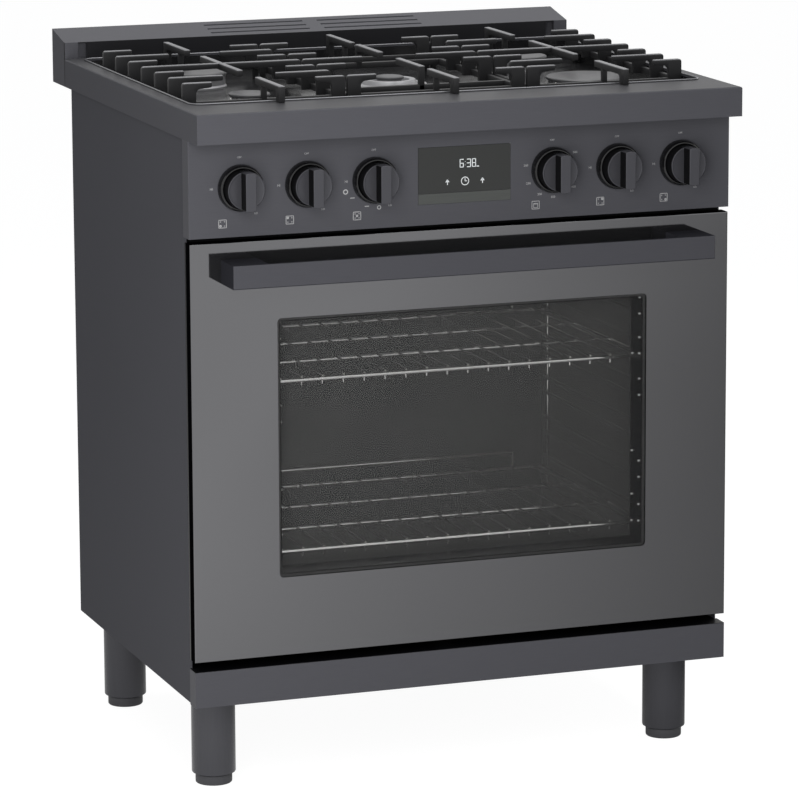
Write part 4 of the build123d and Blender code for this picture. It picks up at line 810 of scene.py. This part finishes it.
marks = []
ICON_Z = 0.774
ICON_DX = -0.0248
ICON_HALF = 0.0056
ICON_LINE = 0.0008
DOT_STEP = 0.0028
DOT_R = 0.0007
DOT_LINE = 0.0004
THIS_DOT_R = 0.0011       # the dot of the knob's own burner
OVEN_HALF = 0.0032
OVEN_LINE = 0.0006
OVEN_SHELF = 0.001
OFF_UP = 0.040
LOW_X = 0.021
LOW_DOWN = 0.0345
SMALL_TYPE = 0.0036
TYPE = 0.0044
DIAL_WIDE = 0.0395        # the figures stand on an oval round the knob
DIAL_HIGH = 0.0365
OVEN_KNOB = 4
OVEN_MARKS = ((168, "200"), (207, "250"), (241, "300"), (270, "350"), (318, "400"), (37, "500"))
BURNER_DOTS = {1: (-1, -1), 2: (-1, 1), 3: (0, 0), 5: (1, 1), 6: (1, -1)}
for number, x in enumerate(KNOB_X, start=1):
    icon = x + ICON_DX
    marks.extend(square(icon, ICON_Z, ICON_HALF, ICON_LINE))
    marks.append(lettering("OFF", x - 0.001, KNOB_Z + OFF_UP, SMALL_TYPE))
    if number == OVEN_KNOB:
        shelf = OVEN_HALF - OVEN_LINE
        high = ICON_Z + OVEN_SHELF
        marks.extend(square(icon, ICON_Z - OVEN_LINE, OVEN_HALF, OVEN_LINE))
        marks.append(flat(icon - shelf, icon + shelf, high, high + OVEN_LINE))
        for angle, figures in OVEN_MARKS:
            turn = math.radians(angle)
            across = x + DIAL_WIDE * math.cos(turn)
            marks.append(lettering(figures, across, KNOB_Z + DIAL_HIGH * math.sin(turn), TYPE))
        continue
    for dx in (-1, 1):
        for dz in (-1, 1):
            marks.append(printed_ring(icon + dx * DOT_STEP, ICON_Z + dz * DOT_STEP, DOT_R, DOT_LINE, 12))
    dx, dz = BURNER_DOTS[number]
    marks.append(printed_ring(icon + dx * DOT_STEP, ICON_Z + dz * DOT_STEP, THIS_DOT_R, THIS_DOT_R, 16))
    marks.append(lettering("HI", x - DIAL_WIDE, KNOB_Z, TYPE))
    marks.append(lettering("LO", x + LOW_X, KNOB_Z - LOW_DOWN, SMALL_TYPE))
# The middle burner's two rings, each with a dash that leads to its part of the scale.
x = KNOB_X[2]
for across, down, radius, line in ((-0.0405, 0.0135, 0.0028, 0.0014), (0.006, 0.0365, 0.0023, 0.0010)):
    marks.append(printed_ring(x + across, KNOB_Z - down, radius, line, 20))
for across, down in ((-0.034, 0.0225), (-0.014, 0.0345)):
    marks.append(flat(x + across, x + across + 0.006, KNOB_Z - down, KNOB_Z - down + 0.001))
ink = mottled("fascia_ink", (900.0, 1.0), ((146, 146, 146), (160, 160, 160)), (0.55, 0.1))
fit(joined(marks), "fascia_marks", ink, "range", "black_steel")

GLASS = FACE - 0.0003     # the display's glass stands proud of the fascia
CLOCK = (("6", -0.0068), ("3", 0.0034), ("8", 0.0105))
CLOCK_Z = 0.8302
COLON_Z = (0.8330, 0.8375)
TIMER_X = 0.0007
TIMER_Z = 0.8120
ARROW_X = (-0.0242, 0.0253)
ARROW_Z = 0.8115
ARROW_STEP = 0.0009
DIGIT_W = 0.0056
DIGIT_H = 0.0112
STROKE = 0.0010
SEGMENTS = {"6": "acdefg", "3": "abcdg", "8": "abcdefg"}
lit = []


def digit(figure, x, z):
    """A seven-segment figure; x and z are its lower left corner."""
    half = DIGIT_H / 2
    inner = DIGIT_W - STROKE
    bars = {"a": (0, DIGIT_W, DIGIT_H - STROKE, DIGIT_H), "b": (inner, DIGIT_W, half, DIGIT_H),
            "c": (inner, DIGIT_W, 0, half), "d": (0, DIGIT_W, 0, STROKE), "e": (0, STROKE, 0, half),
            "f": (0, STROKE, half, DIGIT_H), "g": (0, DIGIT_W, half - STROKE / 2, half + STROKE / 2)}
    made = []
    for segment in SEGMENTS[figure]:
        left, right, low, high = bars[segment]
        made.append(flat(x + left, x + right, z + low, z + high, GLASS))
    return made


for figure, x in CLOCK:
    lit.extend(digit(figure, x, CLOCK_Z))
# The colon, a dash after the figures, a small clock face and an arrow at either side.
for z in COLON_Z:
    lit.append(flat(0.0006, 0.0014, z, z + 0.0008, GLASS))
lit.append(flat(0.0170, 0.0204, CLOCK_Z, CLOCK_Z + 0.0014, GLASS))
lit.append(printed_ring(TIMER_X, TIMER_Z, 0.0052, 0.0009, face=GLASS))
lit.append(flat(TIMER_X - 0.0004, TIMER_X + 0.0004, TIMER_Z - 0.0002, TIMER_Z + 0.0035, GLASS))
lit.append(flat(TIMER_X - 0.0004, TIMER_X + 0.0029, TIMER_Z - 0.0004, TIMER_Z + 0.0004, GLASS))
for x in ARROW_X:
    lit.append(flat(x - 0.0005, x + 0.0005, ARROW_Z - 0.0035, ARROW_Z + 0.0035, GLASS))
    for row in range(4):
        half = 0.0026 - row * 0.0006
        low = ARROW_Z + row * ARROW_STEP
        lit.append(flat(x - half, x + half, low, low + 0.0010, GLASS))


def lit_ink():
    """Figures that glow behind the glass."""
    finish = Finish("lit_ink")
    ink = finish.noise(700.0, 1.0)
    return finish.surface({
        "Base Color": finish.blend(ink, tone(190, 192, 192), tone(205, 207, 207)),
        "Roughness": 0.4,
        "Emission Color": (0.9, 0.95, 1.0, 1.0),
        "Emission Strength": 0.15})


fit(joined(lit), "clock_figures", lit_ink(), "range", "door_glass")


# ---- cooktop ----
# A pressed black stainless surround with a bright beaded lip round the well, a low riser with steam vents at
# the rear, and an enamelled pan that carries four corner burners and a two-ring one in the middle.

# Die-cast heads, blasted and greyed by flames, caps in satin black enamel, white glazed spark pins and the
# bright edge of the lip.
casting = mottled("cast_aluminium", (1300.0,), ((128, 128, 130), (150, 150, 152)), (0.42, 0.14),
                  metal=0.7, relief=(0.00004, 0.5))
caps_black = mottled("cap_enamel", (500.0,), ((42, 42, 44), (52, 52, 54)), (0.36, 0.12),
                     relief=(0.00003, 0.4))
ceramic = mottled("spark_ceramic", (220.0,), ((205, 203, 198), (232, 231, 228)), (0.22, 0.12))
bright_lip = mottled("polished_edge", (800.0,), ((96, 96, 99), (112, 112, 115)), (0.3, 0.12), metal=0.6)
RISER_FRONT = 0.6298 + FRONT
RISER_FOLD = 0.0009
RISER_HALF = 0.361
SEAM_DEPTH = 0.0035
SEAM_X = 0.3806
RIM_FLAT = 0.9239


def riser_sheet():
    """The riser: the same sheet, with painted shade on its recessed front between the end blocks, and matt
    black in its seam with the rim.
    """
    finish = Finish("riser_sheet")
    hair = finish.noise(*HAIR)
    near = finish.axis("Y") < RISER_FRONT + RISER_FOLD
    side = finish.axis("X")
    span = side * side
    # The long front between the end blocks is painted dark as the shade in its recess.
    shaded_recess = near * (span < RISER_HALF * RISER_HALF)
    seam = (finish.axis("Y") < RISER_FRONT + SEAM_DEPTH) * (span > SEAM_X * SEAM_X)
    bare = finish.blend(hair, tone(70, 70, 74), tone(78, 78, 82))
    return finish.surface({
        "Base Color": finish.blend(shaded_recess + seam, bare, tone(34, 34, 36)),
        "Specular IOR Level": 0.08,
        "Roughness": 0.4 + 0.08 * hair})


# The rim's top face is painted darker, as shade against the strong light from above.
dress(black_stainless("rim_stainless", level=67, gloss=0.06, shaded_above=RIM_FLAT - 0.0003, upper=58), "cooktop_rim")
dress(riser_sheet(), "backguard")
dress(black_enamel("pan_enamel", 26, 0.5), "burner_pan")
dress(ceramic, "igniters")

WELL_X = 0.358
WELL_FRONT = 0.090 + FRONT
WELL_REAR = 0.612 + FRONT
LIP_TOP = 0.9251
LIP_HALF = 0.0015         # half of the lip's width
BEAD_R = 0.0013
BEAD_BEND = 0.0155
bead = rod_loop(2 * (WELL_X + LIP_HALF), WELL_FRONT - LIP_HALF, WELL_REAR + LIP_HALF, LIP_TOP - 0.0002,
                BEAD_BEND, BEAD_R, 2)
fit(bead, "well_bead", bright_lip, "range", "black_steel")

PAN = 0.8979
HEAD = 0.0185
TOOTH_IN = 0.0022
TOOTH_LONG = 0.0042
TOOTH_HIGH = 0.0040
TOOTH_SHARE = 0.58        # of the way from one slot to the next
# Place across, place in depth, radius of the cap and number of slots.
BURNERS = {"front_left": (-0.2425, 0.212, 0.028, 18), "rear_left": (-0.2425, 0.460, 0.046, 28),
           "front_right": (0.2425, 0.212, 0.056, 34), "rear_right": (0.2425, 0.460, 0.037, 24)}


def ported_head(x, y, cap, ports):
    """A burner head: flange, crown and a ring of slots, with its spreader under the cap."""
    crown = cap - 0.003
    head = turned([(0.0001, 0.0), (crown + 0.002, 0.0), (crown + 0.002, 0.0026), (crown + 0.0012, 0.0034),
                   (crown, 0.0050), (crown, HEAD - 0.0036)], (x, y, PAN))
    parts = [head]
    slot = math.tau / ports
    ring = crown - TOOTH_IN
    for number in range(ports):
        angle = number * slot
        place = (x + ring * math.cos(angle), y + ring * math.sin(angle), PAN + HEAD - 0.0018)
        clear()
        bpy.ops.mesh.primitive_cube_add(size=1, location=place, rotation=(0, 0, angle))
        tooth = bpy.context.object
        tooth.scale = (TOOTH_LONG, crown * slot * TOOTH_SHARE, TOOTH_HIGH)
        parts.append(settle(tooth))
    spreader = crown - 0.0042
    parts.append(turned([(0.0001, HEAD - 0.004), (spreader, HEAD - 0.004), (spreader, HEAD - 0.0001),
                         (0.0001, HEAD - 0.0001)], (x, y, PAN), sides=64))
    return joined(parts)


for name, (x, depth, cap, ports) in BURNERS.items():
    fit(ported_head(x, depth + FRONT, cap, ports), "ported_head_" + name, casting, "range", "burner_alloy",
        "burner_head_" + name)

centre = 0.336 + FRONT
two_ring = turned([(0.0001, 0.0), (0.0520, 0.0), (0.0540, 0.0014), (0.0538, 0.0030), (0.0522, 0.0078),
                   (0.0512, 0.0088), (0.0500, 0.0090), (0.0400, 0.0086), (0.0388, 0.0092), (0.0362, 0.0142),
                   (0.0354, 0.0150), (0.0292, 0.0150), (0.0280, 0.0144), (0.0262, 0.0092), (0.0250, 0.0088),
                   (0.0182, 0.0088), (0.0172, 0.0094), (0.0172, 0.0148), (0.0001, 0.0149)],
                  (0, centre, PAN), sides=128)
fit(two_ring, "two_ring_head", casting, "range", "burner_alloy", "burner_head_centre")


def domed_cap(x, y, radius, height):
    """A burner cap: a flat disc with a soft edge and a shallow crown."""
    return turned([(0.0001, 0.0), (radius - 0.0010, 0.0), (radius, 0.0008), (radius, 0.0022),
                   (radius - 0.0005, 0.0033), (radius - 0.0016, 0.0040), (radius - 0.0040, 0.0043),
                   (radius * 0.5, 0.0045), (0.0001, 0.0045)], (x, y, height))


lids = [domed_cap(x, depth + FRONT, cap, PAN + HEAD) for x, depth, cap, ports in BURNERS.values()]
lids.append(domed_cap(0, centre, 0.020, PAN + 0.015))
fit(joined(lids), "domed_caps", caps_black, "range", "cap_enamel", "burner_caps")


# ---- grates ----
# Three cast-iron grates. Each is a comb: legs stand along both sides of a low frame, every leg turns into a
# finger that reaches over a burner, and bars from front to back carry the pans between the fingers.
TOP = 0.946
TOP_SHEEN_DEPTH = 0.0011           # the top faces are painted paler as a highlight down to this far below the top


def cast_iron():
    """Cast iron under matt black enamel: a sandy skin, with a painted highlight on its top faces."""
    finish = Finish("cast_iron")
    sand = finish.noise(1500.0, 3.0)
    lump = finish.noise(160.0)
    # The top faces get a painted highlight: a pale colour in place of the sheen that light gives them.
    painted_top_sheen = finish.axis("Z") > TOP - TOP_SHEEN_DEPTH
    skin = finish.blend(sand, tone(27, 27, 28), tone(35, 35, 36))
    return finish.surface({
        "Base Color": finish.blend(painted_top_sheen, skin, tone(112, 112, 114)),
        "Roughness": 0.46 + 0.12 * lump,
        "Specular IOR Level": 0.35,
        "Normal": finish.bump(sand + 2 * lump, 0.00003, 0.4)})


iron = cast_iron()
BAR = 0.009
RAIL_TOP = 0.921
RAIL_LOW = 0.912
LEG = 0.019
THICK = 0.0035            # half of a tooth's thickness
ROW = 0.0623
SIDE_IN = 0.1295
SIDE_OUT = 0.3555
CENTRE_EDGE = 0.1265
SKIN = 0.0009             # rounding that sand moulding leaves
DRAFT = 1.08              # a tooth's leg is wider at its foot
TAPER_ACROSS = 0.86       # and its finger is slimmer at the tip
TAPER_DOWN = 0.80
ELBOW = 0.006
SHOULDER = 0.004
NIB = 0.0025
RAIL_WIDE = 0.0072
RAIL_ROUND = 0.0012
END_BAR = 0.0064
CORNER_FOOT = 0.0066
POST_WIDE = 0.0072
POST_DEEP = 0.0068
FOOT_LOW = PAN + 0.0001
SPINE = 0.008
SPINE_FOOT = 0.015
FRONT_SPINE = (0.071 + FRONT, 0.175 + FRONT)
REAR_SPINE = (0.595 + FRONT, 0.491 + FRONT)


def blank(x0, x1, y0, y1, z0, z1):
    """A plain casting blank between two corners."""
    clear()
    bpy.ops.mesh.primitive_cube_add(size=1, location=((x0 + x1) / 2, (y0 + y1) / 2, (z0 + z1) / 2))
    piece = bpy.context.object
    piece.scale = (abs(x1 - x0), abs(y1 - y0), abs(z1 - z0))
    return settle(piece)


def meets(first, second):
    return abs(first - second) < 0.0001


def comb_tooth(edge, tip):
    """A leg at the grate's edge that turns over into a finger, at the middle row."""
    way = 1 if tip > edge else -1
    leg = edge + way * LEG
    under = TOP - BAR
    piece = blank(edge, leg, centre - THICK, centre + THICK, under, TOP)
    open_faces(piece)
    pick(piece, lambda middle, normal: normal.z < -0.9, faces=True)
    pull(0, 0, RAIL_LOW + 0.0002 - under)
    bpy.ops.transform.resize(value=(1.0, DRAFT, 1.0), center_override=((edge + leg) / 2, centre, RAIL_LOW))
    pick(piece, lambda middle, normal: normal.x * way > 0.9 and middle.z > under, faces=True)
    pull(tip - leg, 0, 0)
    bpy.ops.transform.resize(value=(1.0, TAPER_ACROSS, TAPER_DOWN), center_override=(tip, centre, TOP))
    bpy.ops.mesh.select_mode(type="EDGE")
    pick(piece, lambda middle, along: abs(along.y) > 0.9 and meets(middle.x, leg)
         and meets(middle.z, under))
    bpy.ops.mesh.bevel(offset=ELBOW, segments=4, affect="EDGES")
    pick(piece, lambda middle, along: abs(along.y) > 0.9 and meets(middle.x, edge)
         and meets(middle.z, TOP))
    bpy.ops.mesh.bevel(offset=SHOULDER, segments=4, affect="EDGES")
    pick(piece, lambda middle, along: abs(along.y) > 0.9 and meets(middle.x, tip)
         and middle.z < TOP - 0.002)
    bpy.ops.mesh.bevel(offset=NIB, segments=3, affect="EDGES")
    bpy.ops.mesh.select_mode(type="FACE")
    shut_mesh()
    return softened(piece, SKIN)


def spine(x, near, far, foot=0.0, foot_z=0.0):
    """A bar from front to back; with a foot, its near end turns down to stand on the rim or the pan."""
    piece = blank(x - SPINE / 2, x + SPINE / 2, near, far, TOP - BAR, TOP)
    if foot:
        way = 1 if far > near else -1
        toe = near + way * foot
        take(piece)
        open_mesh()
        pick_all()
        bpy.ops.mesh.bisect(plane_co=(x, toe, TOP), plane_no=(0, 1, 0))
        bpy.ops.mesh.select_mode(type="FACE")
        pick(piece, lambda middle, normal: normal.z < -0.9 and (middle.y - toe) * way < 0, faces=True)
        pull(0, 0, foot_z - TOP + BAR)
        bpy.ops.mesh.select_mode(type="EDGE")
        pick(piece, lambda middle, along: abs(along.x) > 0.9 and meets(middle.y, toe)
             and meets(middle.z, TOP - BAR))
        bpy.ops.mesh.bevel(offset=ELBOW, segments=4, affect="EDGES")
        bpy.ops.mesh.select_mode(type="FACE")
        shut_mesh()
    return softened(piece, SKIN)


def low_frame(x0, x1):
    """The low rails, corner feet and end bars that every grate has."""
    inset = 0.0004
    first = centre - 3 * ROW
    last = centre + 3 * ROW
    middle = (x0 + x1) / 2
    parts = []
    for x in (x0 + inset, x1 - RAIL_WIDE - inset):
        parts.append(softened(blank(x, x + RAIL_WIDE, first, last, RAIL_LOW, RAIL_TOP), RAIL_ROUND))
        for y in (first, last):
            parts.append(softened(blank(x, x + RAIL_WIDE, y - CORNER_FOOT / 2, y + CORNER_FOOT / 2, FOOT_LOW,
                                        RAIL_TOP - 0.002), 0.0008))
    for y in (first, last):
        parts.append(softened(blank(x0 + 0.001, x1 - 0.001, y - END_BAR / 2, y + END_BAR / 2,
                                    RAIL_LOW + 0.0002, RAIL_TOP - 0.0002), RAIL_ROUND))
        parts.append(softened(blank(middle - POST_WIDE / 2, middle + POST_WIDE / 2, y - POST_DEEP / 2,
                                    y + POST_DEEP / 2, RAIL_LOW + 0.0004, TOP - 0.002), 0.0006))
    parts.append(spine(middle, *FRONT_SPINE, SPINE_FOOT, RIM_FLAT + 0.0001))
    parts.append(spine(middle, *REAR_SPINE, SPINE_FOOT, FOOT_LOW))
    return parts


def teeth(edge, tip, rows):
    """The same tooth at several rows of the comb."""
    tooth = comb_tooth(edge, tip)
    made = [twin(tooth, (0, row * ROW, 0)) for row in rows if row]
    if 0 in rows:
        made.append(tooth)
    else:
        bpy.data.objects.remove(tooth)
    return made


SHORT = 0.041
LONG = 0.076
CENTRE_LONG = 0.087
MIDDLE_REACH = 0.0845     # half of the side grates' middle spine
CROSS_AT = 0.132          # from the middle of the centre grate to its cross bars
CROSS_WIDE = 0.0076
CROSS_FOOT = 0.008
INNER_END = 0.036
for side in (-1, 1):
    inner = side * SIDE_IN
    outer = side * SIDE_OUT
    middle = (inner + outer) / 2
    parts = low_frame(min(inner, outer), max(inner, outer))
    for edge, way in ((inner, side), (outer, -side)):
        parts.extend(teeth(edge, edge + way * SHORT, (-3, -1, 1, 3)))
        parts.extend(teeth(edge, edge + way * LONG, (-2, 2)))
        parts.extend(teeth(edge, middle, (0,)))
    parts.append(spine(middle, centre - MIDDLE_REACH, centre + MIDDLE_REACH))
    hand = "left" if side < 0 else "right"
    fit(joined(parts), "comb_" + hand, iron, "grate_" + hand, "cast_iron", "grate_" + hand)

parts = low_frame(-CENTRE_EDGE, CENTRE_EDGE)
for way in (-1, 1):
    edge = -way * CENTRE_EDGE
    parts.extend(teeth(edge, edge + way * SHORT, (-3, -1, 1, 3)))
    parts.extend(teeth(edge, edge + way * CENTRE_LONG, (0,)))
    far = centre + way * CROSS_AT
    parts.append(spine(0, far, centre + way * INNER_END, CROSS_FOOT, RAIL_LOW + 0.0002))
    parts.append(softened(blank(-CENTRE_EDGE + 0.002, CENTRE_EDGE - 0.002, far, far - way * CROSS_WIDE,
                                RAIL_LOW + 0.0003, RAIL_TOP - 0.0003), RAIL_ROUND))
fit(joined(parts), "comb_centre", iron, "grate_centre", "cast_iron", "grate_centre")


# ---- legs ----
# Four drawn steel sleeves in the stove paint, with lines from the drawing left along them. Each takes a
# moulded levelling foot, which screws up into it on a stud.
tube = mottled("leg_paint", (700.0, 2.0, (1.0, 1.0, 0.02)), ((70, 70, 74), (76, 76, 80)), (0.2, 0.05),
               metal=0.5)
moulded = mottled("foot_plastic", (900.0,), ((54, 54, 57), (62, 62, 65)), (0.48, 0.12),
                  relief=(0.00003, 0.4))
LEG_X = 0.3287
SLEEVE_R = 0.0297
SLEEVE_TOP = 0.1284
STUD_TOP = 0.0982
LEG_DEPTHS = {"front": 0.1314, "rear": 0.5554}
sleeves = []
for hand, x in (("left", -LEG_X), ("right", LEG_X)):
    for end, depth in LEG_DEPTHS.items():
        y = depth + FRONT
        sleeves.append(turned([(0.0064, 0.0145), (0.0282, 0.0145), (0.0292, 0.0150), (SLEEVE_R, 0.0162),
                               (SLEEVE_R, SLEEVE_TOP), (0.0064, SLEEVE_TOP)], (x, y, 0)))
        foot = turned([(0.0001, 0.0), (0.0236, 0.0), (0.0246, 0.0010), (0.0248, 0.0022),
                       (0.0248, 0.0118), (0.0242, 0.0132), (0.0228, 0.0142), (0.0061, 0.0142),
                       (0.0059, STUD_TOP), (0.0001, STUD_TOP)], (x, y, 0))
        name = "foot_" + end + "_" + hand
        fit(foot, "level_" + name, moulded, name, "foot", name)
fit(joined(sleeves), "drawn_sleeves", tube, "range", "black_steel", "leg_sleeves")


# ---- studio ----
# A pale floor that keeps the shadow and shows darker towards the right where the range mirrors it, an even
# white surround, and three soft lamps at a plain level, of which the key is hidden from reflections.
BLACK = (0, 0, 0, 1)
WHITE = (1, 1, 1, 1)


def studio_floor():
    """White floor; the camera sees mostly its own white, and a reflection the white that falls off."""
    finish = Finish("studio_floor")
    grain = finish.noise(30.0)
    diffuse = finish.node("ShaderNodeBsdfDiffuse", {}, {
        "Color": finish.blend(grain, (0.86, 0.86, 0.86, 1), (0.88, 0.88, 0.88, 1))})
    across = 0.60 * finish.axis("X") + 0.327 * finish.axis("Y")
    falloff = finish.blend(0.40 - across, BLACK, WHITE)
    glow = finish.node("ShaderNodeEmission", {}, {"Color": falloff, "Strength": 1.0})
    mirrored = 0.9 * finish.ray("Glossy") + 0.2 * finish.ray("Transmission")
    lit = finish.node("ShaderNodeMixShader", {}, {0: mirrored, 1: diffuse, 2: glow})
    veil = finish.node("ShaderNodeBsdfDiffuse", {}, {"Color": (0.14, 0.14, 0.14, 1)})
    white = finish.node("ShaderNodeEmission", {}, {"Color": WHITE, "Strength": 0.95})
    bright = finish.node("ShaderNodeAddShader", {}, {0: veil, 1: white})
    return finish.shown(finish.node("ShaderNodeMixShader", {}, {0: finish.ray("Camera"), 1: lit, 2: bright}))


clear()
bpy.ops.mesh.primitive_plane_add(size=60, location=(0, 0, 0))
floor = bpy.context.object
floor.name = "floor"
floor.data.materials.append(studio_floor())

surround = Finish("surround", "worlds")
seen = surround.ray("Camera") + surround.ray("Glossy") + surround.ray("Transmission")
ambient = surround.node("ShaderNodeBackground", {}, {"Color": (0.93, 0.95, 1.0, 1.0), "Strength": 0.3})
white = surround.node("ShaderNodeBackground", {}, {"Color": WHITE, "Strength": 1.0})
choice = surround.node("ShaderNodeMixShader", {}, {0: seen, 1: ambient, 2: white})
bpy.context.scene.world = surround.shown(choice, "ShaderNodeOutputWorld")


def soft_lamp(name, place, aim, width, height, power):
    """A large softbox that points at a spot on the range."""
    lamp = bpy.data.lights.new(name, "AREA")
    lamp.shape = "RECTANGLE"
    lamp.size = width
    lamp.size_y = height
    lamp.energy = power
    holder = bpy.data.objects.new(name, lamp)
    bpy.context.scene.collection.objects.link(holder)
    holder.location = place
    holder.rotation_euler = (Vector(aim) - Vector(place)).to_track_quat("-Z", "Y").to_euler()
    return holder


key = soft_lamp("key_lamp", (-0.85, -1.75, 0.95), (-0.1, -0.3, 0.5), width=1.0, height=1.4, power=33)
key.visible_glossy = False
soft_lamp("top_lamp", (0.2, 0.0, 2.8), (0, 0, 0.9), width=2.2, height=1.8, power=44)
soft_lamp("fill_lamp", (2.6, 1.2, 1.4), (0.2, 0, 0.5), width=1.6, height=1.6, power=14)

camera_data = bpy.data.cameras.new("camera")
camera = bpy.data.objects.new("camera", camera_data)
bpy.context.scene.collection.objects.link(camera)
camera.location = (-2.0312, -5.7097, 1.6870)
camera.rotation_euler = [math.radians(turn) for turn in (79.3979, 0.2556, -19.7588)]
camera_data.sensor_width = 36.0
camera_data.lens = 199.565
camera_data.shift_y = -0.0802
camera_data.clip_end = 40.0
bpy.context.scene.camera = camera
bpy.context.scene.view_settings.view_transform = "Standard"
